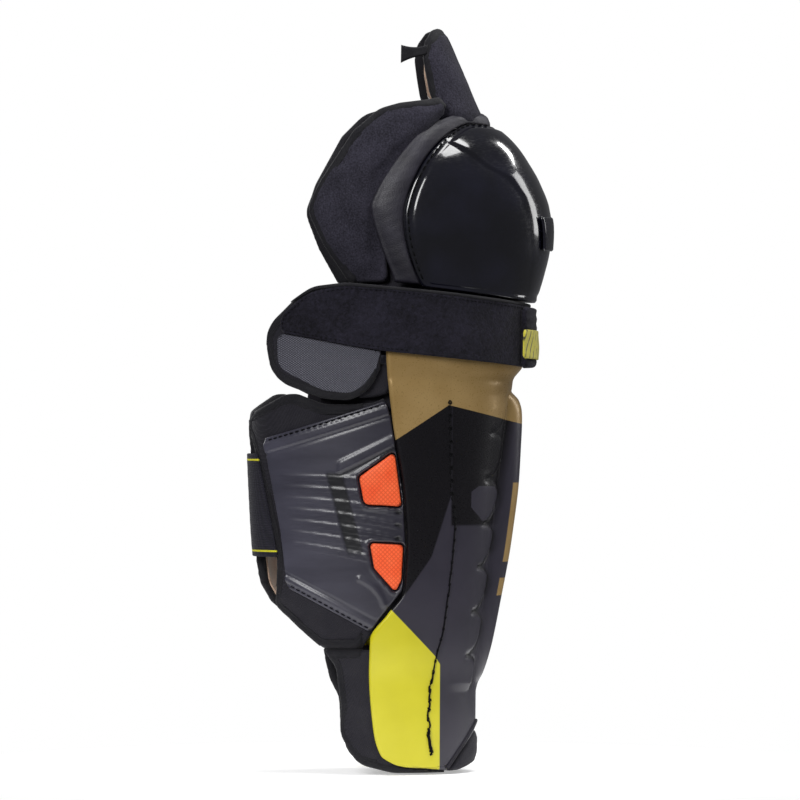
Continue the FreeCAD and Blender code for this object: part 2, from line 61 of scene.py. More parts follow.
# Form stations: (height, front x, centre x, back x, half width)
LEG_STATIONS = [
    (-6, 48.5, -5, -60, 43.0),
    (60, 49.0, -6, -64, 45.5),
    (90, 52.7, -7, -78, 48.5),
    (125, 57.0, -8, -97, 52.0),
    (180, 63.8, -10, -102, 56.0),
    (240, 71.3, -12, -104, 59.0),
    (264, 74.6, -12, -104, 60.0),
    (278, 82.0, -12, -104, 60.5),
    (345, 82.0, -12, -104, 61.0),
]
CAP_STATIONS = [
    (306, 90.0, 15, -60, 53.0),
    (338, 100.4, 15, -66, 61.0),
    (355, 104.3, 15, -67, 63.0),
    (371, 105.6, 15, -68, 64.0),
    (384, 103.5, 15, -67, 63.5),
    (400, 96.8, 16, -64, 61.5),
    (413, 89.5, 18, -58, 57.5),
    (426, 80.7, 21, -46, 50.0),
    (437, 69.0, 25, -26, 38.0),
    (446, 52.0, 30, 2, 20.0),
]
KNEE_STATIONS = [
    (320, 60, -5, -82, 45.5),
    (350, 60, -5, -84, 48.0),
    (385, 60, -5, -84, 52.0),
    (420, 56, -5, -82, 50.5),
    (462, 50, -5, -76, 44.5),
]
TONGUE_STATIONS = [
    (436, 60.0, 24, -8, 33.0),
    (455, 50.5, 21, -8, 29.0),
    (480, 39.3, 17, -8, 25.5),
    (512, 25.5, 10, -10, 19.0),
]
SHELL_WALL = 3.0
SHELL_TOP = 305.0
BORDER_THICKNESS = 5.5
BRIDGE_THICKNESS = 2.2
BRIDGE_LOW, BRIDGE_HIGH = 301.0, 347.0
SLAB_CROWN_REACH = 12.0                # how far in from its edge a slab's crown reaches full height

# Thread along the shell's seam: loops above LOOPS_FOOT, long stitches down to STITCHES_FOOT, short ones to
# TACK_TOP, and a bar tack below
LOOPS_FOOT = 176.0
STITCHES_FOOT = 72.0
TACK_TOP = 36.0

# Layers of the soft parts: (inner, outer) distance outwards from the form that each one lies on
LINER_LAYER = (-10.6, -0.6)
BLOCK_LAYER = (-15.2, -10.9)
ROLL_LAYER = (-7.0, -1.6)
SKIRT_LAYER = (-9.4, -8.4)
CUFF_LAYER = (-5.0, 2.2)
CUFF_FACING_LAYER = (-6.4, -5.3)
SHELL_PATCH_LAYER = (3.3, 4.4)
KNEE_WING_LAYER = (-5.0, 0.0)
TONGUE_LAYER = (-4.4, 0.0)
TONGUE_LINING_LAYER = (-6.2, -4.7)
LOBE_LAYER = (-6.5, -0.9)
CALF_WING_LAYER = (-6.0, -1.4)
CALF_LINING_LAYER = (-7.8, -6.2)
INSERT_LAYER = (-1.0, 2.2)
STRAP_LAYER = (-0.5, 1.5)
STRAP_TAB_LAYER = (1.9, 3.2)
WING_PATCH_LAYER = (-0.9, 0.2)
UPPER_WING_LAYER = (-0.4, 4.2)
MESH_LAYER = (4.3, 4.9)
BAND_LAYER = (5.5, 7.7)
HEM_LAYER = (7.9, 11.4)
LABEL_LAYER = (12.0, 13.4)
HOOK_LAYER = (4.75, 5.4)

# How far the cloth pass may move each padded panel
KNEE_WING_PUFF = 2.2
TONGUE_PUFF = 1.8
LOBE_PUFF = 1.2
CUFF_PUFF = 1.0
CALF_WING_PUFF = 0.35
KNEE_TAPE_REACH = 7.2                  # the knee wing's tape lies within this of its free edge

# Cloth pass of the padded panels
PUFF_PRESSURE = 4.0
PUFF_VOXEL = 4.0                       # mesh size of the simulated copy
PUFF_FRAMES = 20
PUFF_HELD = 7.0                        # width of the border over which the panel stays held
SPARE_CLOTH = 0.05

WEAVE_CONTRAST = 0.35                  # tone of the dark and light threads of a nylon weave
BRONZE_TONES = ((148, 120, 72), (166, 138, 90))
YELLOW_TONES = ((184, 176, 16), (202, 194, 36))
CHARCOAL_TONES = ((38, 36, 46), (47, 44, 55))


# ---------------------------------------------------------------- curves and forms
def unit(vectors):
    """Vectors scaled to length one."""
    return vectors / np.maximum(np.linalg.norm(vectors, axis=-1, keepdims=True), 1e-9)


def ramp_up(value, width):
    """0 below zero, then a straight rise to 1 at the given width."""
    return np.clip(value / width, 0, 1)


def bell(distance, width):
    """1 at zero, fading to nothing some widths away on either side."""
    return np.exp(-(distance / width) ** 2)


def smooth_step(share):
    """Eases a share from 0 to 1 in and out."""
    return share * share * (3 - 2 * share)


def run_length(points):
    """Distance along a polyline at each of its points."""
    return np.concatenate([[0], np.cumsum(np.linalg.norm(np.diff(points, axis=0), axis=1))])


def points_at(at, run, points):
    """Points of a polyline at the given distances along it."""
    return np.column_stack([np.interp(at, run, points[:, k]) for k in range(points.shape[1])])


def smooth_curve(knots, values):
    """Monotone cubic through the knots, as a function of an array."""
    knots = np.asarray(knots, float)
    values = np.asarray(values, float)
    step = np.diff(knots)
    slope = np.diff(values) / step
    tangent = np.zeros(len(knots))
    for i in range(1, len(knots) - 1):
        if slope[i - 1] * slope[i] > 0:
            a = 2 * step[i] + step[i - 1]
            b = step[i] + 2 * step[i - 1]
            tangent[i] = (a + b) / (a / slope[i - 1] + b / slope[i])
    tangent[0], tangent[-1] = slope[0], slope[-1]

    def value(at):
        at = np.clip(np.asarray(at, float), knots[0], knots[-1])
        i = np.clip(np.searchsorted(knots, at) - 1, 0, len(step) - 1)
        t = (at - knots[i]) / step[i]
        h = step[i]
        return ((1 + 2 * t) * (1 - t) ** 2 * values[i] + t * (1 - t) ** 2 * h * tangent[i]
                + t * t * (3 - 2 * t) * values[i + 1] + t * t * (t - 1) * h * tangent[i + 1])
    return value


class Form:
    """Oval sections round the leg. angle runs from 0 at the front to pi at the back."""

    def __init__(self, stations):
        columns = list(zip(*stations))
        self.front, self.centre, self.back, self.half = (smooth_curve(columns[0], c) for c in columns[1:])
        self.z_rows = np.linspace(columns[0][0], columns[0][-1], 120)
        self.angles = np.linspace(0, math.pi, 361)
        self.arc = np.array([self._arc_row(z) for z in self.z_rows])

    def _arc_row(self, z):
        x, y, _ = self.point(self.angles, np.full_like(self.angles, z), 0.0)
        run = np.concatenate([[0], np.cumsum(np.hypot(np.diff(x), np.diff(y)))])
        return run - np.interp(math.pi / 2, self.angles, run)

    def point(self, angle, z, offset):
        centre = self.centre(z)
        c = np.cos(angle)
        reach = np.where(c > 0, self.front(z) - centre, centre - self.back(z)) + offset
        return centre + reach * c, (self.half(z) + offset) * np.sin(angle), z

    def angle_at(self, x, z, offset=0.0):
        centre = self.centre(z)
        dx = np.asarray(x, float) - centre
        reach = np.where(dx > 0, self.front(z) - centre, centre - self.back(z)) + offset
        return np.arccos(np.clip(dx / reach, -1, 1))

    def _row(self, z):
        share = (np.clip(z, self.z_rows[0], self.z_rows[-1])
                 - self.z_rows[0]) / (self.z_rows[1] - self.z_rows[0])
        low = np.clip(share.astype(int), 0, len(self.z_rows) - 2)
        return low, share - low

    def arc_at(self, angle, z):
        """Arc length from the widest point; positive runs back round the calf."""
        z = np.asarray(z, float)
        low, share = self._row(z)
        pos = np.clip(angle / math.pi * 360, 0, 359.999)
        i = pos.astype(int)
        f = pos - i
        a = self.arc[low, i] * (1 - f) + self.arc[low, i + 1] * f
        b = self.arc[low + 1, i] * (1 - f) + self.arc[low + 1, i + 1] * f
        return a * (1 - share) + b * share

    def angle_of_arc(self, s, z):
        """Inverse of arc_at, by bisection; arcs past the front middle give negative angles."""
        low_a = np.full_like(s, -1.2)
        high_a = np.full_like(s, math.pi)
        for _ in range(26):
            mid = (low_a + high_a) / 2
            arc = np.where(mid >= 0, self.arc_at(np.abs(mid), z),
                           2 * self.arc_at(np.zeros_like(s), z) - self.arc_at(np.abs(mid), z))
            under = arc < s
            low_a = np.where(under, mid, low_a)
            high_a = np.where(under, high_a, mid)
        return (low_a + high_a) / 2


LEG = Form(LEG_STATIONS)
CAP = Form(CAP_STATIONS)
KNEE = Form(KNEE_STATIONS)
THIGH = Form(TONGUE_STATIONS)


def rounded(corners, step=1.5, closed=True):
    """Points along an outline of (x, z) or (x, z, radius) corners, about a step apart."""
    corners = [tuple(c) + (0,) * (3 - len(c)) for c in corners]
    count = len(corners)
    points = []
    for i, (x, z, radius) in enumerate(corners):
        here = np.array([x, z], float)
        end = not closed and i in (0, count - 1)
        if end or radius <= 0:
            points.append(here)
            continue
        before = np.array(corners[i - 1][:2], float)
        after = np.array(corners[(i + 1) % count][:2], float)
        u = (before - here) / np.linalg.norm(before - here)
        v = (after - here) / np.linalg.norm(after - here)
        half = math.acos(max(-1, min(1, float(u @ v)))) / 2
        if half > math.pi / 2 - 0.01:
            points.append(here)
            continue
        reach = min(radius / math.tan(half), 0.48 * np.linalg.norm(before - here),
                    0.48 * np.linalg.norm(after - here))
        radius = reach * math.tan(half)
        bisector = (u + v) / np.linalg.norm(u + v)
        centre = here + bisector * radius / math.sin(half)
        start, stop = here + u * reach - centre, here + v * reach - centre
        sweep = math.pi - 2 * half
        turn = 1 if start[0] * stop[1] - start[1] * stop[0] > 0 else -1
        steps = max(3, int(radius * sweep / step))
        for k in range(steps + 1):
            a = turn * sweep * k / steps
            c, s = math.cos(a), math.sin(a)
            points.append(centre + np.array([c * start[0] - s * start[1], s * start[0] + c * start[1]]))
    return resample(np.array(points), step, closed)


def resample(points, step, closed=False):
    """Evenly spaced points along a polyline, about a step apart."""
    if closed:
        points = np.vstack([points, points[:1]])
    run = run_length(points)
    count = max(2, int(round(run[-1] / step)))
    out = points_at(np.linspace(0, run[-1], count + 1), run, points)
    return out[:-1] if closed else out


class Lay:
    """A form's surface laid out flat as (arc length, z), measured from its widest line on one side,
    or, with signed arcs, from its front or back middle so that a piece can cross it."""

    def __init__(self, form, side=LATERAL, origin="side"):
        self.form, self.side, self.origin = form, side, origin

    def flat(self, outline, offset=0.0, side=None):
        outline = np.asarray(outline, float)
        x, z = outline[:, 0], outline[:, 1]
        arc = self.form.arc_at(self.form.angle_at(x, z, offset), z)
        if self.origin == "front":
            arc = (arc - self.form.arc_at(np.zeros_like(z), z)) * (side or self.side)
        elif self.origin == "back":
            arc = (self.form.arc_at(np.full_like(z, math.pi), z) - arc) * (side or self.side)
        return np.column_stack([arc, z])

    def both_sides(self, outline):
        """A loop that runs down the lateral side of an outline and back up its medial side."""
        low = self.flat(outline, side=LATERAL)
        high = self.flat(outline, side=MEDIAL)
        return np.vstack([low, high[::-1]])

    def space(self, flat, offset):
        arc, z = flat[:, 0], flat[:, 1]
        sign = np.full(len(arc), float(self.side))
        if self.origin == "front":
            sign = np.where(arc < 0, -1.0, 1.0)
            arc = np.abs(arc) + self.form.arc_at(np.zeros_like(z), z)
        elif self.origin == "back":
            sign = np.where(arc < 0, -1.0, 1.0)
            arc = self.form.arc_at(np.full_like(z, math.pi), z) - np.abs(arc)
        x, y, height = self.form.point(self.form.angle_of_arc(arc, z), z, offset)
        return np.column_stack([x, sign * y, height])


def distance_to(loop, points, closed=True):
    """Distance of flat points from a flat loop."""
    a = loop
    b = np.roll(loop, -1, axis=0) if closed else loop[1:]
    if not closed:
        a = loop[:-1]
    best = np.full(len(points), 1e9)
    for start in range(0, len(points), 4000):
        p = points[start:start + 4000, None, :]
        ab = (b - a)[None]
        t = np.clip(((p - a[None]) * ab).sum(-1) / np.maximum((ab * ab).sum(-1), 1e-9), 0, 1)
        d = np.linalg.norm(p - (a[None] + t[..., None] * ab), axis=-1)
        best[start:start + 4000] = d.min(1)
    return best


def inside(loop, points):
    x, y = points[:, 0], points[:, 1]
    result = np.zeros(len(points), bool)
    for (x0, y0), (x1, y1) in zip(loop, np.roll(loop, -1, axis=0)):
        if y0 == y1:
            continue
        crosses = (y0 > y) != (y1 > y)
        result ^= crosses & (x < (x1 - x0) * (y - y0) / (y1 - y0) + x0)
    return result


def signed_area(loop):
    following = np.roll(loop, -1, axis=0)
    return 0.5 * float((loop[:, 0] * following[:, 1] - following[:, 0] * loop[:, 1]).sum())


def inset(loop, depth):
    """The loop moved inwards, without the points that a tight corner would fold over."""
    along = unit(np.roll(loop, -1, axis=0) - np.roll(loop, 1, axis=0))
    side = 1 if signed_area(loop) > 0 else -1
    moved = loop + depth * side * np.column_stack([-along[:, 1], along[:, 0]])
    if depth <= 0:
        return moved
    keep = distance_to(loop, moved) > 0.985 * depth
    return moved[keep & inside(loop, moved)]


# ---------------------------------------------------------------- meshes
def new_object(name, vertices, faces, materials):
    """A mesh object from millimetre vertices."""
    mesh = bpy.data.meshes.new(name)
    mesh.from_pydata([tuple(v) for v in np.asarray(vertices) * MM], [],
                     [tuple(int(i) for i in f) for f in faces])
    mesh.validate()
    bm = bmesh.new()
    bm.from_mesh(mesh)
    bmesh.ops.recalc_face_normals(bm, faces=bm.faces)
    bm.to_mesh(mesh)
    bm.free()
    obj = bpy.data.objects.new(name, mesh)
    bpy.context.scene.collection.objects.link(obj)
    for material in materials:
        mesh.materials.append(material)
    mesh.polygons.foreach_set("use_smooth", [True] * len(mesh.polygons))
    mesh.update()
    return obj


def flat_triangles(loops, depths, pitch, ring_of):
    """Triangulates the area inside loops[0] and outside the other loops, with rings of points at
    the given depths from ring_of and an even grid further in."""
    fixed = [p for loop in loops for p in loop]
    edges, base = [], 0
    for loop in loops:
        edges += [(base + i, base + (i + 1) % len(loop)) for i in range(len(loop))]
        base += len(loop)
    extra = []
    for depth in depths:
        extra += list(inset(ring_of, depth))
    low, high = loops[0].min(0), loops[0].max(0)
    xs = np.arange(low[0], high[0], pitch)
    zs = np.arange(low[1], high[1], pitch * 0.866)
    grid = np.array([(x + (k % 2) * pitch / 2, z) for k, z in enumerate(zs) for x in xs])
    margin = (max(depths) if len(depths) else 0.0) + 0.6 * pitch
    good = inside(loops[0], grid) & (distance_to(ring_of, grid) > margin)
    for loop in loops:
        good &= distance_to(loop, grid) > 0.55 * pitch
    for hole in loops[1:]:
        good &= ~inside(hole, grid)
    points = fixed + extra + list(grid[good])
    result = delaunay_2d_cdt([Vector(map(float, p)) for p in points], edges, [], 1, 1e-5)
    flat = np.array([tuple(v) for v in result[0]])
    faces = [f for f in result[2] if len(f) == 3]
    if len(loops) > 1:
        centres = np.array([flat[list(f)].mean(0) for f in faces])
        keep = np.ones(len(faces), bool)
        for hole in loops[1:]:
            keep &= ~inside(hole, centres)
        faces = [f for f, k in zip(faces, keep) if k]
    used = sorted({i for f in faces for i in f})
    remap = {old: new for new, old in enumerate(used)}
    return flat[used], [tuple(remap[i] for i in f) for f in faces]


def boundary_edges(faces):
    seen = {}
    for f in faces:
        for i in range(len(f)):
            a, b = f[i], f[(i + 1) % len(f)]
            seen.setdefault((min(a, b), max(a, b)), []).append((a, b))
    return [pairs[0] for pairs in seen.values() if len(pairs) == 1]


def closed_layer(name, lay, flat, faces, outer, inner, materials, depth=None):
    """Closes a triangulated area into a solid between two offset arrays. depth, the distance from the
    outline, is kept on the mesh for swell()."""
    count = len(flat)
    top = lay.space(flat, outer)
    bottom = lay.space(flat, inner)
    joined = np.abs(outer - inner) < 1e-4
    lower = np.where(joined, np.arange(count), np.arange(count) + count)
    solid = [tuple(f) for f in faces] + [tuple(int(lower[i]) for i in reversed(f)) for f in faces]
    for a, b in boundary_edges(faces):
        if not (joined[a] and joined[b]):
            wall = [b, a, int(lower[a]), int(lower[b])]
            solid.append(tuple(dict.fromkeys(wall)))
    obj = new_object(name, np.vstack([top, bottom]), solid, materials)
    if depth is not None:
        mark(obj, "depth", np.concatenate([depth, -depth]))
    bm = bmesh.new()
    bm.from_mesh(obj.data)
    bmesh.ops.delete(bm, geom=[v for v in bm.verts if not v.link_faces], context="VERTS")
    bm.to_mesh(obj.data)
    bm.free()
    return obj


def bulge(depth, reach):
    """0 at an edge, rising to 1 at the given depth, round like the edge of a cushion."""
    t = np.clip(depth / reach, 0, 1)
    return np.sqrt(1 - (1 - t) ** 2)


def pad(name, lay, loop, layer, materials, crown=0.0, edge=2.2, pitch=2.4, shape=None, crown_reach=16.0):
    """A padded panel inside a flat loop: rounded edge, crowned outer face and optional surface shape."""
    depths = [edge * k for k in (0.08, 0.25, 0.5, 0.75, 1.0, 1.5)]
    flat, faces = flat_triangles([loop], depths, pitch, loop)
    depth = distance_to(loop, flat)
    depth[depth < 1e-3] = 0
    inner, outer = layer
    middle = (inner + outer) / 2
    half = (outer - inner) / 2
    round_edge = bulge(depth, edge)
    top = middle + half * round_edge + crown * bulge(depth, crown_reach)
    if shape is not None:
        top = top + shape(flat, depth) * bulge(depth, edge * 2)
    bottom = middle - half * round_edge
    return closed_layer(name, lay, flat, faces, top, bottom, materials, depth)


def swell(obj, reach, both_faces=False):
    """Cloth simulation of a padded panel. A remeshed copy is inflated, with a little spare cloth so that it
    puckers, and the panel takes over the copy's movement, at most reach millimetres, held at its outline.
    The inner face, whose depth is kept as a negative value, only moves when nothing is sewn onto it."""
    remesh = obj.modifiers.new("remesh", "REMESH")
    remesh.mode = "VOXEL"
    remesh.voxel_size = PUFF_VOXEL * MM
    graph = bpy.context.evaluated_depsgraph_get()
    skin = bpy.data.meshes.new_from_object(obj.evaluated_get(graph))
    obj.modifiers.remove(remesh)
    dummy = bpy.data.objects.new("cloth_copy", skin)
    bpy.context.scene.collection.objects.link(dummy)
    cloth = dummy.modifiers.new("cloth", "CLOTH")
    cloth.settings.quality = 6
    cloth.settings.mass = 0.25
    cloth.settings.tension_stiffness = 12
    cloth.settings.compression_stiffness = 12
    cloth.settings.bending_stiffness = 0.3
    cloth.settings.shrink_min = -SPARE_CLOTH
    cloth.settings.use_pressure = True
    cloth.settings.uniform_pressure_force = PUFF_PRESSURE
    cloth.settings.effector_weights.gravity = 0
    scene = bpy.context.scene
    for frame_number in range(1, PUFF_FRAMES + 1):
        scene.frame_set(frame_number)
    graph = bpy.context.evaluated_depsgraph_get()
    before = vertex_array(skin)
    after = vertex_array(dummy.evaluated_get(graph).data)
    scene.frame_set(1)
    move = after - before
    move -= move.mean(axis=0)
    tree = KDTree(len(before))
    for i, point in enumerate(before):
        tree.insert(point, i)
    tree.balance()
    own = vertex_array(obj.data)
    depth = np.zeros(len(own), np.float32)
    obj.data.attributes["depth"].data.foreach_get("value", depth)
    if both_faces:
        depth = np.abs(depth)
    near = [[hit[1] for hit in tree.find_n(point, 6)] for point in own]
    shift = move[np.array(near)].mean(axis=1)
    length = np.linalg.norm(shift, axis=1)
    shift *= (np.minimum(length, reach) / np.maximum(length, 1e-9))[:, None]
    hold = ramp_up(depth - 1.0, PUFF_HELD)
    own += shift * smooth_step(hold)[:, None]
    obj.data.vertices.foreach_set("co", (own * MM).ravel())
    obj.data.update()
    bpy.data.objects.remove(dummy)
    bpy.data.meshes.remove(skin)


def vertex_array(mesh):
    """A mesh's vertex positions in millimetres."""
    points = np.zeros(3 * len(mesh.vertices))
    mesh.vertices.foreach_get("co", points)
    return points.reshape(-1, 3) / MM


def mark(obj, name, values):
    """Stores one value per vertex, for a material or swell() to read."""
    layer = obj.data.attributes.new(name, "FLOAT", "POINT")
    layer.data.foreach_set("value", np.asarray(values, np.float32))


def binding(name, lay, loop, layer, materials, width=6.5, proud=0.7, crown=0.0, crown_reach=16.0,
            span=None):
    """Folded tape round a panel's edge, with a soft pucker and a sunken stitch line."""
    outer_loop = inset(loop, -proud * 0.8)
    inner_loop = inset(loop, width)
    depths = [0.25, 0.8, 1.6, 2.6, 3.6, 4.4, 4.9, 5.4, 6.0, width + proud * 0.8 - 0.35]
    flat, faces = flat_triangles([outer_loop, inner_loop], depths, 2.0, outer_loop)
    depth = distance_to(outer_loop, flat)
    depth[depth < 1e-3] = 0
    inner, outer = layer
    middle = (inner + outer) / 2
    half = (outer - inner) / 2 + proud
    run = flat @ np.array([0.83, 0.55])
    pucker = 0.16 * np.sin(run * 1.9) + 0.10 * np.sin(run * 0.83 + 1.0)
    stitch_dip = 0.45 * bell(depth - 5.1, 0.75)
    tape_edge = bulge(width + proud * 0.8 - depth, 0.9)
    rise = half * bulge(depth, 3.0) * (0.72 + 0.28 * tape_edge)
    top = middle + rise + (pucker - stitch_dip) * bulge(depth, 2.0) + crown * bulge(depth, crown_reach)
    bottom = middle - rise
    if span is not None:
        keep = span(flat)
        faces = [f for f in faces if keep[list(f)].all()]
    return closed_layer(name, lay, flat, faces, top, bottom, materials)


def tube_along(points, radius, sides=6):
    """Vertices and faces of a closed tube along 3-D points. radius may vary along it."""
    points = np.asarray(points, float)
    radius = np.broadcast_to(np.asarray(radius, float), (len(points),))
    along = unit(np.gradient(points, axis=0))
    normals = np.tile([0.0, 0.0, 1.0], (len(points), 1))
    steep = np.abs((normals * along).sum(1)) > 0.9
    normals[steep] = [1.0, 0.0, 0.0]
    u = unit(normals - (normals * along).sum(1, keepdims=True) * along)
    v = np.cross(along, u)
    turn = np.arange(sides) * 2 * math.pi / sides
    rings = (points[:, None, :] + radius[:, None, None]
             * (np.cos(turn)[None, :, None] * u[:, None, :] + np.sin(turn)[None, :, None] * v[:, None, :]))
    vertices = rings.reshape(-1, 3)
    faces = []
    for i in range(len(points) - 1):
        for k in range(sides):
            a, b = i * sides + k, i * sides + (k + 1) % sides
            faces.append((a, b, b + sides, a + sides))
    faces.append(tuple(range(sides - 1, -1, -1)))
    last = (len(points) - 1) * sides
    faces.append(tuple(last + k for k in range(sides)))
    return vertices, faces


def merge(parts):
    """One vertex and face list from several."""
    vertices, faces, base = [], [], 0
    for v, f in parts:
        vertices.append(v)
        faces += [tuple(i + base for i in face) for face in f]
        base += len(v)
    return np.vstack(vertices), faces


def stitches(name, lay, path, offset, material, pitch=3.4, length=2.4, radius=0.28, lift=0.35):
    """Thread stitches along a flat path: each dives into the cloth at both ends."""
    run = run_length(path)
    parts = []
    start = pitch * 0.3
    while start + length < run[-1]:
        at = start + length * np.linspace(0, 1, 6)
        arch = lift * np.array([-1.4, 0.2, 1.0, 1.0, 0.2, -1.4])
        points = lay.space(points_at(at, run, path), offset + arch)
        parts.append(tube_along(points, radius * np.array([0.6, 1, 1.1, 1.1, 1, 0.6])))
        start += pitch
    return new_object(name, *merge(parts), [material])


# ---------------------------------------------------------------- material helpers
class Shader:
    """Builds one Principled material with a few node shorthands, in object coordinates in metres."""

    def __init__(self, name, roughness, **sockets):
        self.material = bpy.data.materials.new(name)
        self.material.use_nodes = True
        self.tree = self.material.node_tree
        self.surface = self.tree.nodes["Principled BSDF"]
        self.set("Roughness", roughness)
        for socket, value in sockets.items():
            self.set(socket.replace("_", " "), value)
        self.place = self.node("ShaderNodeTexCoord").outputs["Object"]

    def node(self, kind, **values):
        made = self.tree.nodes.new(kind)
        for key, value in values.items():
            setattr(made, key, value)
        return made

    def plug(self, socket, value):
        if isinstance(value, bpy.types.NodeSocket):
            self.tree.links.new(value, socket)
        else:
            socket.default_value = (*value, 1.0) if hasattr(value, "__len__") and len(value) == 3 \
                and socket.type == "RGBA" else value

    def set(self, name, value):
        self.plug(self.surface.inputs[name], value)

    def math(self, operation, a, b=0.0, c=None):
        made = self.node("ShaderNodeMath", operation=operation)
        self.plug(made.inputs[0], a)
        self.plug(made.inputs[1], b)
        if c is not None:
            self.plug(made.inputs[2], c)
        return made.outputs[0]

    def axes(self):
        split = self.node("ShaderNodeSeparateXYZ")
        self.plug(split.inputs[0], self.place)
        return split.outputs

    def noise(self, scale, detail=3.0, roughness=0.55, distortion=0.0, stretch=None):
        made = self.node("ShaderNodeTexNoise")
        self.plug(made.inputs["Vector"], self.scaled(stretch) if stretch else self.place)
        for socket, value in (("Scale", scale), ("Detail", detail), ("Roughness", roughness),
                              ("Distortion", distortion)):
            made.inputs[socket].default_value = value
        return made.outputs["Fac"]

    def cells(self, scale):
        made = self.node("ShaderNodeTexVoronoi")
        self.plug(made.inputs["Vector"], self.place)
        made.inputs["Scale"].default_value = scale
        return made.outputs["Distance"]

    def scaled(self, stretch):
        made = self.node("ShaderNodeVectorMath", operation="MULTIPLY")
        self.plug(made.inputs[0], self.place)
        made.inputs[1].default_value = stretch
        return made.outputs[0]

    def stripes(self, direction, pitch, sharpness=None):
        """A sine wave along a direction, with its pitch in millimetres, from 0 to 1."""
        dot = self.node("ShaderNodeVectorMath", operation="DOT_PRODUCT")
        self.plug(dot.inputs[0], self.place)
        dot.inputs[1].default_value = tuple(np.array(direction) / np.linalg.norm(direction))
        wave = self.math("SINE", self.math("MULTIPLY", dot.outputs["Value"], 2 * math.pi / (pitch * MM)))
        wave = self.math("MULTIPLY_ADD", wave, 0.5, 0.5)
        return self.math("POWER", wave, sharpness) if sharpness else wave

    def ramp(self, value, low, high, to_low=0.0, to_high=1.0):
        made = self.node("ShaderNodeMapRange", clamp=True)
        for socket, number in (("Value", value), ("From Min", low), ("From Max", high),
                               ("To Min", to_low), ("To Max", to_high)):
            self.plug(made.inputs[socket], number)
        return made.outputs[0]

    def mix(self, share, a, b):
        made = self.node("ShaderNodeMix", data_type="RGBA")
        self.plug(made.inputs[0], share)
        self.plug(made.inputs[6], a)
        self.plug(made.inputs[7], b)
        return made.outputs[2]

    def bump(self, height, distance, strength=1.0, under=None):
        made = self.node("ShaderNodeBump")
        made.inputs["Strength"].default_value = strength
        made.inputs["Distance"].default_value = distance * MM
        self.plug(made.inputs["Height"], height)
        if under is not None:
            self.plug(made.inputs["Normal"], under)
        self.set("Normal", made.outputs[0])
        return made.outputs[0]

    def line_z(self, x0, z0, x1, z1):
        """Signed height, in metres, of a point above the side-view line through two points in millimetres."""
        x, _, z = self.axes()
        slope = (z1 - z0) / (x1 - x0)
        return self.math("SUBTRACT", z, self.math("MULTIPLY_ADD", x, slope, (z0 - slope * x0) * MM))

    def above(self, height, edge=0.35):
        """Mask that turns on over a height of zero, across a soft edge in millimetres."""
        return self.ramp(height, -edge * MM / 2, edge * MM / 2)

    def between(self, value, low, high):
        """Mask between two bounds in millimetres."""
        return self.both(self.above(self.minus(value, low * MM)), self.above(self.minus(high * MM, value)))

    def tones(self, value, low, high, dark, light):
        """A colour from dark to light as the value goes from low to high."""
        return self.mix(self.ramp(value, low, high), srgb(*dark), srgb(*light))

    def times(self, a, b):
        return self.math("MULTIPLY", a, b)

    def minus(self, a, b):
        return self.math("SUBTRACT", a, b)

    def most(self, a, b):
        return self.math("MAXIMUM", a, b)

    def marked(self, name):
        """The value that mark() stored on the mesh."""
        return self.node("ShaderNodeAttribute", attribute_name=name).outputs["Fac"]

    def both(self, *masks):
        return functools.reduce(self.times, masks)


def srgb(r, g, b):
    """Linear colour from 8-bit display values."""
    return tuple(((v / 255) / 12.92) if v <= 10 else (((v / 255) + 0.055) / 1.055) ** 2.4
                 for v in (r, g, b))


def nylon(name, color, weave=0.9):
    """Tight plain weave with a faint speckle, for the wing covers and the tape."""
    s = Shader(name, 0.82, Sheen_Weight=0.05, Sheen_Roughness=0.5, Specular_IOR_Level=0.3)
    warp = s.stripes((0.35, 0.3, 1.0), weave)
    weft = s.stripes((1.0, 0.6, -0.3), weave)
    cloth = s.times(warp, weft)
    speckle = s.noise(1600, 2.0)
    tone = s.ramp(s.math("MULTIPLY_ADD", speckle, 0.6, s.times(cloth, 0.4)), 0.3, 0.8)
    dark = tuple(v * (1 - WEAVE_CONTRAST) for v in srgb(*color))
    light = tuple(min(1.0, v * (1 + WEAVE_CONTRAST) + 0.004) for v in srgb(*color))
    s.set("Base Color", s.mix(tone, dark, light))
    s.set("Roughness", s.ramp(s.noise(60, 2.0), 0.3, 0.7, 0.70, 0.86))
    fold = s.bump(s.noise(70, 3.0), 0.9, 0.35)
    s.bump(s.math("ADD", cloth, s.times(speckle, 0.6)), 0.22, 0.8, fold)
    return s.material


def knit(name, color, light, grain=900, nap=0.5):
    """Brushed knit over foam: a speckled, napped face."""
    s = Shader(name, 0.92, Sheen_Weight=nap, Sheen_Roughness=0.45, Specular_IOR_Level=0.2)
    speckle = s.noise(grain, 4.0, 0.7)
    cloud = s.noise(45, 3.0)
    tone = s.ramp(s.math("MULTIPLY_ADD", cloud, 0.25, s.times(speckle, 0.75)), 0.36, 0.66)
    s.set("Base Color", s.mix(tone, srgb(*color), srgb(*light)))
    base = s.bump(cloud, 1.2, 0.3)
    s.bump(speckle, 0.35, 0.75, base)
    return s.material


def napped_loop(name, color, light):
    """Loop fabric of the hook-and-loop straps, with a deep irregular nap."""
    s = Shader(name, 0.95, Sheen_Weight=0.08, Sheen_Roughness=0.35, Specular_IOR_Level=0.2)
    curls = s.cells(760)
    tufts = s.noise(420, 4.0, 0.75, 0.8)
    matted = s.noise(38, 3.0)
    tone = s.ramp(s.math("MULTIPLY_ADD", matted, 0.35, s.times(tufts, 0.65)), 0.38, 0.68)
    s.set("Base Color", s.mix(tone, srgb(*color), srgb(*light)))
    base = s.bump(s.math("MULTIPLY_ADD", matted, 1.4, tufts), 0.8, 0.8)
    s.bump(curls, 0.4, 0.7, base)
    return s.material


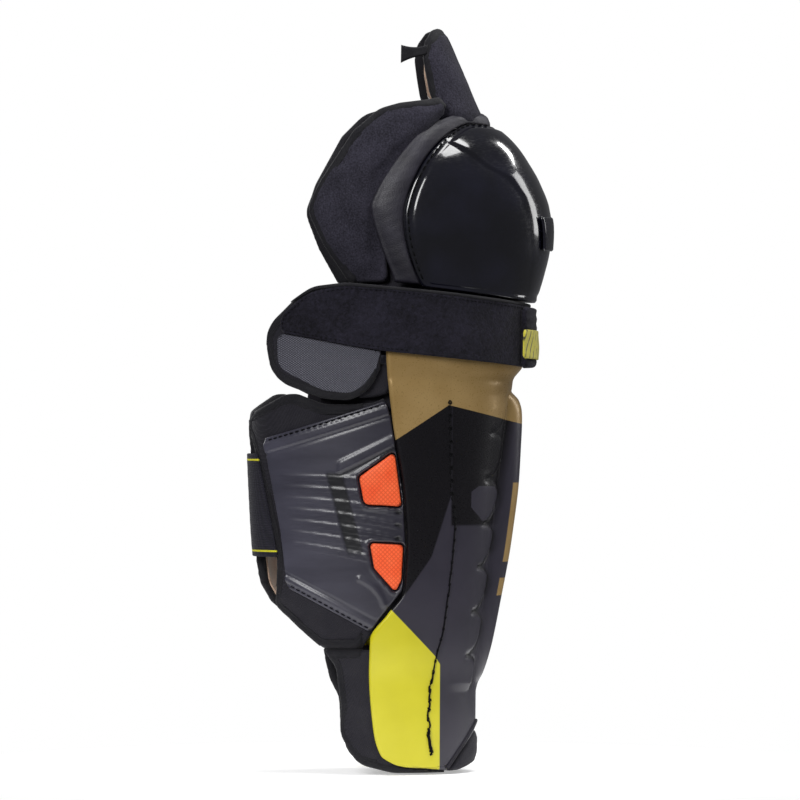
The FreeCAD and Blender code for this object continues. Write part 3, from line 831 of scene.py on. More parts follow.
def gloss_cap(name):
    """Injection-moulded knee cap: deep black gloss with hair scratches and a slight moulding ripple."""
    s = Shader(name, 0.2, Coat_Weight=0.7, Coat_Roughness=0.05, Specular_IOR_Level=0.5)
    scuffs = s.noise(260, 5.0, 0.7, stretch=(1.0, 1.0, 6.0))
    s.set("Roughness", s.ramp(scuffs, 0.45, 0.75, 0.13, 0.30))
    s.set("Coat Roughness", s.ramp(scuffs, 0.5, 0.8, 0.03, 0.12))
    s.set("Base Color", s.tones(s.noise(30, 2.0), 0.4, 0.7, (11, 11, 18), (19, 19, 31)))
    s.bump(s.noise(22, 2.0), 0.5, 0.25)
    return s.material


def leatherette(name):
    """Pebbled matte border of the knee cap."""
    s = Shader(name, 0.48, Specular_IOR_Level=0.5)
    pebbles = s.cells(1150)
    cloud = s.noise(55, 3.0)
    s.set("Base Color", s.tones(cloud, 0.35, 0.7, (25, 23, 32), (38, 36, 47)))
    s.set("Roughness", s.ramp(pebbles, 0.0, 0.6, 0.40, 0.58))
    base = s.bump(cloud, 1.2, 0.25)
    s.bump(pebbles, 0.18, 0.6, base)
    return s.material


def thread(name, color):
    """Waxed thread with the twist of its plies."""
    s = Shader(name, 0.85, Specular_IOR_Level=0.12)
    ply = s.stripes((0.6, 0.5, 1.0), 0.7)
    s.set("Base Color", s.mix(ply, srgb(*[v * 0.6 for v in color]), srgb(*[v * 1.5 + 3 for v in color])))
    s.bump(ply, 0.2, 0.8)
    return s.material


def shell_paint(name):
    """Moulded shin shell: bronze upper zone, black gloss field, charcoal lower field, yellow heel panel."""
    s = Shader(name, 0.30, Coat_Weight=0.2, Coat_Roughness=0.16)
    x, y, z = s.axes()
    grain = s.noise(900, 2.0)
    haze = s.noise(28, 3.0)
    left_arm = s.line_z(-9.5, 226.0, 26.4, 249.0)
    right_arm = s.line_z(26.4, 249.0, 83.0, 236.0)
    bronze = s.most(s.above(left_arm), s.above(right_arm))
    rear_edge = s.line_z(-1.7, 123.0, 12.5, 143.0)
    rear_rise = s.line_z(12.5, 139.0, 26.0, 180.0)
    behind_seam = s.both(s.above(rear_edge, 1.6), s.above(rear_rise, 3.0),
                         s.above(s.minus(29.0 * MM, x), 1.2))
    before_seam = s.both(s.above(s.minus(x, 28.8 * MM), 1.2), s.above(s.minus(z, 167.5 * MM), 1.6))
    off_ridge = s.above(s.minus(s.math("ABSOLUTE", y),
                                s.ramp(z, 165 * MM, 245 * MM, 19.0 * MM, 16.0 * MM)), 3.0)
    lobe_edges = [((43, 190), (49, 194), -1), ((48, 194.2), (62, 193.6), -1),
                  ((61.5, 194), (65.6, 188), -1),
                  ((59, 171.8), (65.2, 179.5), 1), ((52, 170), (60, 171.4), 1),
                  ((44.5, 178.5), (52.5, 169.8), 1)]
    lobe = s.both(*[s.above(s.times(s.line_z(*a, *b), sign)) for a, b, sign in lobe_edges],
                  s.between(x, 43.4, 65.7))
    black = s.both(s.most(behind_seam, before_seam), off_ridge, s.minus(1.0, lobe))
    yellow_top = s.minus(0.0, s.line_z(-12.6, 111.0, 18.5, 79.0))
    yellow_chamfer = s.minus(0.0, s.line_z(18.5, 79.0, 22.9, 72.0))
    yellow_front = s.minus(22.0 * MM, x)
    yellow = s.both(s.above(yellow_top), s.above(yellow_chamfer), s.above(yellow_front))
    cheek = s.minus(14.0 * MM, s.math("ABSOLUTE", y))
    flash = s.both(s.above(cheek), s.most(s.between(z, 142, 196), s.between(z, 119, 131)))
    charcoal = s.tones(haze, 0.3, 0.7, *CHARCOAL_TONES)
    color = s.mix(black, charcoal, s.mix(haze, srgb(11, 10, 13), srgb(17, 15, 19)))
    bronze_tone = s.tones(haze, 0.35, 0.7, *BRONZE_TONES)
    color = s.mix(bronze, color, bronze_tone)
    color = s.mix(flash, color, bronze_tone)
    color = s.mix(yellow, color, s.tones(haze, 0.2, 0.8, *YELLOW_TONES))
    # Painted shade: near-black along the grooves beside the lobes and under their lower halves, from values
    # stored on the mesh.
    color = s.mix(s.marked("groove_and_shade"), color, srgb(7, 7, 9))
    s.set("Base Color", color)
    s.set("Metallic", s.times(s.most(bronze, flash), 0.25))
    rough = s.ramp(grain, 0.3, 0.7, 0.32, 0.40)
    rough = s.minus(rough, s.times(black, 0.06))
    s.set("Specular IOR Level", s.math("MULTIPLY_ADD", black, -0.2, 0.5))
    s.set("Roughness", rough)
    base = s.bump(haze, 0.4, 0.2)
    s.bump(grain, 0.06, 0.5, base)
    return s.material


def plate_paint(name):
    """Guard plate: tinted semi-gloss plastic with a fine moulded grain and flow streaks."""
    s = Shader(name, 0.34, Coat_Weight=0.25, Coat_Roughness=0.2)
    flow = s.noise(24, 4.0, 0.6, stretch=(0.5, 0.5, 2.2))
    grain = s.noise(1500, 2.0)
    fade = s.ramp(s.axes()[0], -90 * MM, 0.0)
    tone = s.tones(flow, 0.3, 0.7, (47, 46, 57), (66, 65, 78))
    color = s.mix(s.times(fade, 0.8), tone, srgb(29, 27, 36))
    # Painted shade: near-black in the recessed bar, under the chevron arm and in the slot mouths, from values
    # stored on the mesh.
    s.set("Base Color", s.mix(s.times(s.marked("recess_and_shade"), 0.95), color, srgb(10, 10, 14)))
    s.set("Roughness", s.ramp(s.math("MULTIPLY_ADD", grain, 0.5, s.times(flow, 0.5)), 0.35, 0.65, 0.32,
                              0.46))
    base = s.bump(flow, 0.5, 0.2)
    s.bump(grain, 0.05, 0.5, base)
    return s.material


def hatched_foam(name):
    """Orange rubber insert with a moulded diagonal hatch."""
    s = Shader(name, 0.55, Specular_IOR_Level=0.35)
    hatch = s.most(s.stripes((1.0, 0.0, 1.0), 2.1, 3.0), s.stripes((1.0, 0.0, -1.0), 2.1, 3.0))
    cloud = s.noise(90, 2.0)
    tone = s.tones(cloud, 0.3, 0.7, (240, 88, 38), (248, 112, 62))
    # Painted shade: the sunken hatch lines are coloured darker orange.
    s.set("Base Color", s.mix(s.times(hatch, 0.6), tone, srgb(196, 54, 18)))
    s.bump(hatch, 0.45, -0.9)
    return s.material


def diagonal_mesh(name):
    """Grey ballistic mesh of the upper wings: fine diagonal weave."""
    s = Shader(name, 0.75, Specular_IOR_Level=0.3)
    weave = s.times(s.stripes((1.0, 0.4, 1.0), 1.05), s.stripes((1.0, 0.4, -1.0), 1.05))
    tone = s.ramp(s.math("ADD", weave, s.times(s.noise(900, 2.0), 0.35)), 0.1, 1.0)
    s.set("Base Color", s.mix(tone, srgb(48, 48, 56), srgb(108, 108, 118)))
    base = s.bump(s.noise(60, 3.0), 0.8, 0.3)
    s.bump(weave, 0.3, 0.9, base)
    return s.material


def elastic(name):
    """Ribbed elastic webbing with a thin yellow line along each edge."""
    s = Shader(name, 0.85, Sheen_Weight=0.05, Specular_IOR_Level=0.25)
    _, _, z = s.axes()
    ribs = s.stripes((0.0, 0.0, 1.0), 1.6)
    cross = s.stripes((1.0, 1.0, 0.0), 0.9)
    lines = s.most(s.between(z, 211.2, 212.4), s.between(z, 149.4, 150.6))
    cloth = s.mix(s.times(ribs, cross), srgb(22, 21, 30), srgb(34, 32, 44))
    s.set("Base Color", s.mix(lines, cloth, srgb(206, 200, 40)))
    s.bump(s.math("ADD", ribs, s.times(cross, 0.5)), 0.3, 0.7)
    return s.material


def woven_label(name):
    """Yellow woven pull label with diagonal creases, painted dark as shade."""
    s = Shader(name, 0.6, Sheen_Weight=0.2)
    crease = s.both(s.ramp(s.stripes((0.0, 1.0, -0.35), 4.6), 0.86, 0.93),
                    s.ramp(s.noise(110, 2.0), 0.42, 0.5))
    rib = s.times(s.stripes((0.0, 1.0, 1.0), 0.6), s.stripes((0.2, 1.0, -1.0), 0.6))
    # Painted shade: the creases are coloured dark olive.
    s.set("Base Color", s.mix(crease, s.mix(rib, srgb(188, 178, 34), srgb(214, 206, 62)), srgb(58, 54, 22)))
    s.bump(s.minus(rib, s.times(crease, 0.8)), 0.25, 0.7)
    return s.material


def suede(name):
    """Tan brushed lining against the calf."""
    s = Shader(name, 0.95, Sheen_Weight=0.6, Sheen_Roughness=0.4)
    nap = s.noise(700, 4.0, 0.7)
    cloud = s.noise(40, 3.0)
    s.set("Base Color", s.mix(s.ramp(s.math("MULTIPLY_ADD", nap, 0.4, s.times(cloud, 0.6)), 0.35, 0.65),
                              srgb(160, 134, 116), srgb(200, 172, 150)))
    s.bump(nap, 0.25, 0.6)
    return s.material


class Finish:
    """The materials, by the record's slot names."""

    def __init__(self):
        self.shell_plastic = shell_paint("shell_plastic_look")
        self.cap_plastic = gloss_cap("cap_plastic_look")
        self.plate_plastic = plate_paint("plate_plastic_look")
        self.insert_foam = hatched_foam("insert_foam_look")
        self.liner_foam = knit("liner_foam_look", (22, 22, 27), (52, 52, 60), 700, 0.1)
        self.cap_border_fabric = leatherette("cap_border_look")
        self.neoprene = knit("neoprene_look", (20, 19, 26), (58, 56, 68), 900, 0.06)
        self.wing_fabric = nylon("wing_fabric_look", (27, 25, 34))
        self.binding_tape = nylon("binding_tape_look", (17, 16, 23), 0.7)
        self.mesh_fabric = diagonal_mesh("mesh_fabric_look")
        self.lining_suede = suede("lining_suede_look")
        self.strap_loop = napped_loop("strap_loop_look", (11, 10, 15), (40, 38, 50))
        self.strap_elastic = elastic("strap_elastic_look")
        self.hook_tape = nylon("hook_tape_look", (18, 18, 22), 1.3)
        self.label_weave = woven_label("label_weave_look")
        self.thread = thread("thread_look", (8, 8, 10))
        self.cuff_fabric = nylon("cuff_fabric_look", (32, 30, 39), 0.8)
        self.tongue_fabric = knit("tongue_fabric_look", (21, 20, 27), (60, 58, 70), 900, 0.06)


LOOK = Finish()


def settle(obj, slot, body, *nodes):
    """Hides the CAD nodes that a piece stands for and attaches it to the body it moves with; slot is not
    used.
    """
    if nodes:
        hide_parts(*nodes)
    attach(obj, body)
    return obj


def sewn_pad(name, lay, loop, layer, slot, body, *nodes, **form):
    """A pad made and settled in one step."""
    return settle(pad(name, lay, loop, layer, [getattr(LOOK, slot)], **form), slot, body, *nodes)


def settle_between(obj, slot, bodies, line, *nodes):
    """Hides the CAD nodes that a piece stands for and bakes its transform into its mesh; slot, bodies and
    line are not used.
    """
    if nodes:
        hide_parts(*nodes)
    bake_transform(obj)


# ---------------------------------------------------------------- shin shell
REAR_EDGE = smooth_curve(
    [2.0, 4.5, 10, 31, 72, 91, 108, 124, 155, 188, 241, 284, 305],
    [20.0, -6.0, -17.0, -23.3, -26.2, -25.9, -14.5, -3.9, -2.2, -4.3, -12.8, -17.0, -17.6])
RIDGE_HEIGHT = smooth_curve(
    [54, 59, 66, 74, 84, 116, 156, 186, 221, 244, 252, 258],
    [0.0, 1.2, 4.4, 6.3, 7.6, 10.2, 12.6, 13.0, 11.2, 8.9, 6.0, 0.0])
NOTCHES = [261.0, 230.0, 199.0, 169.0, 139.5, 109.0, 79.0, 52.0]
LOBE_ADVANCE = smooth_curve([0, 0.06, 0.18, 0.34, 0.55, 0.8, 0.95, 1.0],
                            [0, 0.5, 0.93, 1.0, 0.93, 0.66, 0.3, 0.0])
TIP_ARC = smooth_curve([52, 79, 139, 199, 261], [29.0, 33.0, 34.0, 36.0, 38.0])
LOBE_DEPTH = smooth_curve([52, 79, 139, 199, 261], [10.0, 15.0, 16.5, 18.0, 19.0])
ARCH_TOP = 34.0
SEAM = [(256, 27.0), (218, 28.0), (191, 29.0), (168, 31.5), (143, 29.5), (116, 26.5), (95, 23.5),
        (81, 19.5),
        (61, 16.0), (39, 13.5), (10, 15.5)]
seam_x = smooth_curve([z for z, _ in SEAM[::-1]], [x for _, x in SEAM[::-1]])


def shell_foot(x):
    """Height of the shell's lower edge: low at the ankle, arched over the instep."""
    return np.where(x < 26, smooth_curve([-26, -17, -6, 20, 26], [14.0, 9.0, 4.5, 2.5, 1.2])(x),
                    1.2 + (np.clip(x, 26, 52.5) - 26) * (ARCH_TOP - 1.2) / 26.5)


def side_scallop(z):
    """Arc from the front at which the ridge's flank meets the shell, cusped at each notch."""
    upper = np.array(NOTCHES[:-1])
    lower = np.array(NOTCHES[1:])
    which = np.clip(np.searchsorted(-np.array(NOTCHES), -z) - 1, 0, len(upper) - 1)
    phase = np.clip((upper[which] - z) / (upper[which] - lower[which]), 0, 1)
    return TIP_ARC(z) - LOBE_DEPTH(z) * LOBE_ADVANCE(phase), phase


SCALLOPS = np.column_stack([side_scallop(np.linspace(52.0, 261.0, 500))[0], np.linspace(52.0, 261.0, 500)])


def shell_relief(arc, z, x):
    """Height of the moulded detail over the shell's base form, and painted shade along the grooves and under
    the lobes.
    """
    reach, phase = side_scallop(z)
    near = distance_to(SCALLOPS, np.column_stack([arc.ravel(), z.ravel()]), closed=False).reshape(arc.shape)
    crest, foot = 5.5, 18.0 - 3.0 * ramp_up(110 - z, 60)
    flank = np.clip((arc - crest) / (foot - crest), 0, 1)
    ridge = RIDGE_HEIGHT(z) * (1 - flank ** 1.8)
    in_lobes = ramp_up(z - 54, 6) * ramp_up(256 - z, 10)
    strength = 0.35 + 0.65 * ramp_up(205 - z, 12)
    fade = np.clip(1 - (arc - TIP_ARC(z)) / 18, 0, 1) ** 1.2
    pillow = in_lobes * strength * 1.2 * bulge(near, 5.0) * (arc > reach) * fade
    # Painted shade: dark along the groove beside each lobe, which is also carved, and under the lower half of
    # each lobe.
    groove_and_shade = in_lobes * strength * bell(near, 1.2)
    under_lobe = (arc < reach) * (0.25 + 0.75 * ramp_up(phase - 0.35, 0.3))
    shade = np.maximum(groove_and_shade, in_lobes * strength * under_lobe * bell(near, 2.8))
    seam_gap = np.abs(x - seam_x(z))
    seam = -0.3 * bell(seam_gap, 0.9) * ramp_up(258 - z, 4) * ramp_up(z - 8, 4)
    lip = 1.1 * bell(z - 303, 1.6)
    waist = -0.8 * bell(z - 268, 4.0)
    return ridge + pillow - 0.6 * groove_and_shade + seam + lip + waist, shade


def make_shell():
    """One moulded wall: fine grid from rear edge to rear edge, with a rounded rim."""
    rows, half_columns = 300, 110
    lean = np.linspace(0, 1, half_columns) ** 1.15
    v = np.linspace(0, 1, rows)
    v = 0.5 * v + 0.5 * (1 - np.cos(math.pi * v)) / 2
    grid = []
    for side in (LATERAL, MEDIAL):
        arc_share = lean[None, :] * np.ones((rows, 1))
        z = np.full((rows, half_columns), SHELL_TOP) * v[:, None]
        for _ in range(6):
            edge = LEG.angle_at(REAR_EDGE(z.ravel()), z.ravel(), 0).reshape(z.shape)
            angle = arc_share * edge
            x = LEG.point(angle, z, 0.0)[0]
            foot = shell_foot(x)
            z = foot + v[:, None] * (SHELL_TOP - foot)
        front_arc = -LEG.arc_at(np.zeros(z.size), z.ravel()).reshape(z.shape)
        arc = LEG.arc_at(angle.ravel(), z.ravel()).reshape(z.shape) + front_arc
        grid.append((angle, z, arc, x, side))
    columns = 2 * half_columns - 1
    outer = np.zeros((rows, columns, 3))
    inner = np.zeros((rows, columns, 3))
    painted_groove_shade = np.zeros((2, rows, columns))
    for angle, z, arc, x, side in grid:
        rim = np.minimum.reduce([
            (arc[:, -1:] - arc), (SHELL_TOP - z), z - shell_foot(x)])
        rounding = bulge(rim + 0.02, 1.4)
        relief, groove_and_shade = shell_relief(arc, z, x)
        height = SHELL_WALL * (0.45 + 0.55 * rounding) + relief
        if side == LATERAL:
            painted_groove_shade[0, :, :half_columns] = groove_and_shade[:, ::-1]
        else:
            painted_groove_shade[0, :, half_columns - 1:] = groove_and_shade
        low = SHELL_WALL * 0.45 * (1 - rounding)
        for target, offset in ((outer, height), (inner, low)):
            px, py, pz = LEG.point(angle, z, offset)
            block = np.stack([px, side * py, pz], axis=-1)
            if side == LATERAL:
                target[:, :half_columns] = block[:, ::-1]
            else:
                target[:, half_columns - 1:] = block
    obj = grid_solid("shin_shell_moulding", outer, inner, [LOOK.shell_plastic])
    # Stores the painted shade of the grooves and under the lobes, for the shell's material to darken.
    mark(obj, "groove_and_shade", painted_groove_shade.ravel())
    return settle(obj, "shell_plastic", "shin", "shin_shell")


def make_shell_lacing(side, word):
    """Waxed thread that dives through the shell along its seam: open loops above, long tight stitches
    below, and a bar tack at the foot."""
    z = np.linspace(254.0, 8.0, 400)
    lay = Lay(LEG, side)
    flat = lay.flat(np.column_stack([seam_x(z), z]), SHELL_WALL)
    run = run_length(flat)
    parts, at = [], 2.0

    def stitch(start, span, radius, lift, sway=0.0):
        share = start + span * np.linspace(0, 1, 9)
        points = points_at(share, run, flat)
        points[:, 0] += sway * np.sin(np.linspace(0, math.pi, 9))
        arch = np.array([-1.6, 0.1, lift, lift, lift, lift, lift, 0.1, -1.6])
        shape = radius * np.array([0.8, 0.95, 1, 1, 1.1, 1, 1, 0.95, 0.8])
        parts.append(tube_along(lay.space(points, SHELL_WALL - 0.1 + arch), shape, 8))

    def eyelet(start):
        turn = np.linspace(0, 2 * math.pi, 15)
        centre = points_at([start], run, flat)
        circle = centre + 1.15 * np.column_stack([np.cos(turn), np.sin(turn)])
        parts.append(tube_along(lay.space(circle, SHELL_WALL + 0.05), 0.42, 7))
        plug = lay.space(np.tile(centre, (4, 1)), SHELL_WALL + np.array([-1.2, -0.7, -0.2, 0.1]))
        parts.append(tube_along(plug, [0.8, 0.8, 0.75, 0.4], 8))

    while at < run[-1] - 8:
        height = z[np.searchsorted(run, at)]
        if height > LOOPS_FOOT:
            eyelet(at + 1.2)
            stitch(at + 3.4, 2.6, 0.45, 0.3, 0.8)
            at += 8.8
        elif height > STITCHES_FOOT:
            stitch(at, 8.3, 0.52, 0.3, RNG.uniform(-0.35, 0.35))
            stitch(at - 0.9, 1.9, 0.8, 0.5)
            at += 7.6
        elif height > TACK_TOP:
            stitch(at, 8.3, 0.62, 0.45, RNG.uniform(-1.3, 1.3))
            stitch(at - 1.0, 2.4, 0.95, 0.6, RNG.uniform(-0.8, 0.8))
            at += 6.4
        else:
            stitch(at, 4.6, 0.95, 0.8, RNG.uniform(-1.1, 1.1))
            at += 2.3
    obj = new_object(f"shell_lacing_thread_{word}", *merge(parts), [LOOK.thread])
    return settle(obj, "thread", "shin", f"shell_lacing_{word}")


# ---------------------------------------------------------------- knee cap
CAP_CENTRE = np.array([20.0, 0.0, 350.0])
CAP_TOP_MIDDLE = (62.4, 440.4)
CAP_RIM = [CAP_TOP_MIDDLE, (54, 441.4), (42, 441), (30, 435), (18, 425), (8, 412), (0, 396), (-4.2, 381),
           (-4.4, 370),
           (-2.5, 357), (1.6, 343), (7.2, 329.2)]
BORDER_BACK = [(56, 0, 446.6), (45, 19, 446.4), (30, 31, 443.6), (9, 45, 434), (-12, 53, 411.6),
               (-26, 56.0, 390),
               (-27.5, 56.0, 379), (-21.4, 54.0, 359), (-13, 53, 338), (-11, 52.5, 331.5)]


def cap_foot(x):
    """Height of the cap's lower edge, falling towards the front."""
    return 328.6 - 16.0 * (x - 8.0) / 132.0


def cap_point(angle, z, scale=1.0):
    """Points on the cap's form, drawn in towards its centre by the given scale."""
    x, y, height = CAP.point(angle, z, 0.0)
    points = np.stack([x, y, height * np.ones_like(x)], axis=-1)
    return CAP_CENTRE + (points - CAP_CENTRE) * scale


def smooth_path(points, count):
    """Even points along a Catmull-Rom curve through the given points."""
    points = np.asarray(points, float)
    padded = np.vstack([2 * points[0] - points[1], points, 2 * points[-1] - points[-2]])
    dense = []
    for i in range(1, len(padded) - 2):
        p0, p1, p2, p3 = padded[i - 1:i + 3]
        for t in np.linspace(0, 1, 24, endpoint=False):
            dense.append(0.5 * (2 * p1 + (p2 - p0) * t + (2 * p0 - 5 * p1 + 4 * p2 - p3) * t * t
                                + (3 * p1 - p0 - 3 * p2 + p3) * t ** 3))
    dense.append(points[-1])
    dense = np.array(dense)
    run = run_length(dense)
    return points_at(np.linspace(0, run[-1], count), run, dense)


def cap_rim(count=120):
    """(angle, z) points of the cap's rim from the top middle to the lower corner."""
    path = smooth_path(CAP_RIM, count)
    angle = CAP.angle_at(path[:, 0], path[:, 1])
    angle[0] = 0.0
    return np.column_stack([angle, path[:, 1]])


def cap_under(start_angle):
    """(angle, z) points of the cap's lower edge, from the corner to the front middle."""
    angle = np.linspace(start_angle, 0, 71)[1:]
    z = np.full(len(angle), 324.0)
    for _ in range(6):
        z = cap_foot(CAP.point(angle, z, 0.0)[0])
    return np.column_stack([angle, z])


def cap_edge():
    """(angle, z) points all round the cap's edge, from the top middle."""
    half = cap_rim()
    half = np.vstack([half, cap_under(half[-1, 0])])
    return np.vstack([half * [-1, 1], half[::-1][1:-1]])


def make_cap_shell():
    """Glossy dome: rings that grow from the foremost point to the rim, mirrored to the other side."""
    edge = cap_edge()
    steps = np.concatenate([np.linspace(0, 0.9, 64), 0.9 + 0.1 * np.linspace(0, 1, 22)[1:] ** 0.7])
    pole = np.array([0.0, 371.0])
    angle = steps[:, None] * edge[None, :, 0]
    z = pole[1] + steps[:, None] * (edge[None, :, 1] - pole[1])
    base = cap_point(np.abs(angle), z)
    base[..., 1] *= np.where(angle < 0, -1, 1)
    run = np.linalg.norm(np.diff(base, axis=0), axis=2)
    from_rim = np.vstack([np.cumsum(run[::-1], axis=0)[::-1], np.zeros((1, len(edge)))])
    brow_x = np.interp(base[..., 2], [316, 335, 351, 375, 391, 403, 419, 432],
                       [84.5, 86.5, 89.0, 85.6, 80.0, 69.9, 44.4, 20.0])
    ahead = np.clip((base[..., 0] - brow_x) / 3.6 + 0.5, 0, 1)
    brow = smooth_step(ahead)
    soft = ramp_up(from_rim, 9.0)
    keen = 0.2 + 0.8 * ramp_up(base[..., 2] - 375, 30)
    relief = 0.016 * brow * keen * soft + 0.004 * bell(from_rim - 1.9, 1.2)
    relief -= 0.004 * bell(from_rim - 5.2, 1.5)
    relief -= 0.024 * np.exp(-((base[..., 0] - 57) / 11) ** 2 - ((base[..., 2] - 416) / 9) ** 2) * soft
    rounding = bulge(from_rim + 0.02, 1.6)
    outer = CAP_CENTRE + (base - CAP_CENTRE) * (0.978 + relief + 0.006 * rounding)[..., None]
    inner = CAP_CENTRE + (base - CAP_CENTRE) * (0.956 + 0.010 * (1 - rounding))[..., None]
    index = np.arange(angle.size).reshape(angle.shape)
    index = np.hstack([index, index[:, :1]])
    faces = layer_faces(index, angle.size) + wall_faces(index[-1], angle.size)
    vertices = np.vstack([outer.reshape(-1, 3), inner.reshape(-1, 3)])
    obj = new_object("knee_cap_dome", vertices, faces, [LOOK.cap_plastic])
    weld(obj, 0.02)
    return settle(obj, "cap_plastic", "knee_cap", "cap_shell")


def layer_faces(index, second):
    """Quads of a grid of vertex numbers, and of the same grid a fixed number further on, facing back."""
    corners = [index[:-1, :-1], index[:-1, 1:], index[1:, 1:], index[1:, :-1]]
    quads = np.stack(corners, axis=-1).reshape(-1, 4)
    return [tuple(q) for q in np.vstack([quads, quads[:, ::-1] + second])]


def wall_faces(line, second):
    """Quads that join a line of vertex numbers to the same line a fixed number further on."""
    return [(b, a, a + second, b + second) for a, b in zip(line, line[1:])]


def grid_solid(name, top, bottom, materials):
    """A closed solid between two grids of points."""
    rows, columns, _ = top.shape
    index = np.arange(rows * columns).reshape(rows, columns)
    rim = [*index[0], *index[1:, -1], *index[-1, :-1][::-1], *index[:-1, 0][::-1]]
    faces = layer_faces(index, index.size) + wall_faces(rim, index.size)
    return new_object(name, np.vstack([top.reshape(-1, 3), bottom.reshape(-1, 3)]), faces, materials)


def weld(obj, distance):
    """Merges vertices closer than a distance in millimetres and drops collapsed faces."""
    bm = bmesh.new()
    bm.from_mesh(obj.data)
    bmesh.ops.remove_doubles(bm, verts=bm.verts, dist=distance * MM)
    bmesh.ops.dissolve_degenerate(bm, edges=bm.edges, dist=distance * MM * 0.5)
    bmesh.ops.recalc_face_normals(bm, faces=bm.faces)
    bm.to_mesh(obj.data)
    bm.free()


def slab_from_grid(name, grid, thickness, materials, edge=2.0, crown=0.0, flip=False, relief=None):
    """A padded solid under a grid of points: rounded edges, crowned outer face."""
    rows, columns, _ = grid.shape
    du = np.gradient(grid, axis=1)
    dv = np.gradient(grid, axis=0)
    normal = unit(np.cross(du, dv))
    if flip:
        normal = -normal
    along = np.linalg.norm(np.diff(grid, axis=1), axis=2)
    across = np.linalg.norm(np.diff(grid, axis=0), axis=2)
    from_left = np.concatenate([np.zeros((rows, 1)), np.cumsum(along, axis=1)], axis=1)
    from_low = np.concatenate([np.zeros((1, columns)), np.cumsum(across, axis=0)], axis=0)
    depth = np.minimum.reduce([from_left, from_left[:, -1:] - from_left, from_low,
                               from_low[-1:] - from_low])
    round_edge = bulge(depth, edge)
    lift = crown * bulge(depth, SLAB_CROWN_REACH) - thickness / 2 * (1 - round_edge)
    if relief is not None:
        lift = lift + relief(from_left, from_low, depth)
    top = grid + normal * lift[..., None]
    bottom = grid - normal * (thickness / 2 * (1 + round_edge))[..., None]
    obj = grid_solid(name, top, bottom, materials)
    weld(obj, 0.01)
    return obj


def mirrored_path(path):
    """A path from the top middle down one side, extended to run from one lower corner to the other."""
    other = path * [1, -1, 1]
    return np.vstack([other[::-1], path[1:]])


def make_cap_border():
    """Foam border between the cap's rim and the knee wings, rolled into a lip over the top."""
    rim = cap_rim(150)
    front = cap_point(rim[:, 0], rim[:, 1], 0.975)
    back = smooth_path(BORDER_BACK, 150)
    front, back = mirrored_path(front), mirrored_path(back)
    share = np.linspace(0, 1, 22)
    outward = unit((front + back) / 2 - CAP_CENTRE)
    width = np.linalg.norm(back - front, axis=1, keepdims=True)
    rise = (np.minimum(0.16 * width, 2.6) + 1.3) * np.clip((front[:, 2:] - 325) / 60, 0.15, 1)
    grid = (front[None] * (1 - share[:, None, None]) + back[None] * share[:, None, None]
            + outward[None] * (rise[None] * (np.sin(math.pi * share) ** 0.7)[:, None, None]))

    def creases(along, across, depth):
        ripple = 0.07 * np.sin(along * 0.35 + 1.0) + 0.05 * np.sin(along * 0.9 + across * 0.4)
        crease = 0.9 * bell(across / across[-1:] - 0.86, 0.05)
        return ripple * ramp_up(across, 6) * bulge(depth, 5) + crease

    obj = slab_from_grid("knee_cap_border", grid, BORDER_THICKNESS, [LOOK.cap_border_fabric], edge=2.6,
                         crown=0.5, relief=creases)
    return settle(obj, "cap_border_fabric", "knee_cap", "cap_border")


def make_cap_lacing():
    """Thread that laces the dome to its border."""
    rim = cap_rim(400)[14:]
    points = cap_point(rim[:, 0], rim[:, 1], 0.990)
    inward = cap_point(rim[:, 0] * 0.985, rim[:, 1] + (371 - rim[:, 1]) * 0.015, 0.990)
    run = run_length(points)
    line = points + unit(inward - points) * 2.6
    outward = unit(line - CAP_CENTRE)
    parts = []
    for side in (LATERAL, MEDIAL):
        at = 1.5
        while at < run[-1] - 5:
            share = at + 3.9 * np.linspace(0, 1, 8)
            arch = np.array([-1.2, 0.1, 0.5, 0.6, 0.6, 0.5, 0.1, -1.2])
            space = points_at(share, run, line) + points_at(share, run, outward) * arch[:, None]
            space *= [1, side, 1]
            parts.append(tube_along(space, 0.52, 7))
            at += 5.6
    obj = new_object("knee_cap_lacing_thread", *merge(parts), [LOOK.thread])
    return settle(obj, "thread", "knee_cap", "cap_lacing")


def cap_foam(name, node, low_scale, high_scale, top_share, foot_rise, hole=0.0):
    """Foam inside the cap: concentric rings of the rim shape, drawn in from the cap's edge."""
    edge = cap_edge()
    pole = np.array([0.0, 374.0])
    steps = np.linspace(hole, top_share, 40)
    angle = steps[:, None] * edge[None, :, 0]
    z = pole[1] + steps[:, None] * (edge[None, :, 1] - pole[1])
    z = np.maximum(z, foot_rise)
    grid_angle = np.concatenate([angle, angle[:, :1]], axis=1)
    grid_z = np.concatenate([z, z[:, :1]], axis=1)
    base = cap_point(np.abs(grid_angle), grid_z, high_scale)
    base[..., 1] *= np.where(grid_angle < 0, -1, 1)
    thickness = (high_scale - low_scale) * 85.0
    depth = np.minimum(steps - hole if hole else steps + 9, top_share - steps)[:, None] * 85.0
    soft = bulge(depth, 3.0)
    out = unit(base - CAP_CENTRE)
    top = base - out * (thickness / 2 * (1 - soft))[..., None]
    bottom = base - out * (thickness / 2 * (1 + soft))[..., None]
    index = np.arange(grid_angle.size).reshape(grid_angle.shape)
    faces = layer_faces(index, index.size)
    for row in ((0, -1) if hole else (-1,)):
        faces += wall_faces(index[row], index.size)
    obj = new_object(name, np.vstack([top.reshape(-1, 3), bottom.reshape(-1, 3)]), faces, [LOOK.liner_foam])
    weld(obj, 0.02)
    return settle(obj, "liner_foam", "knee_cap", node)


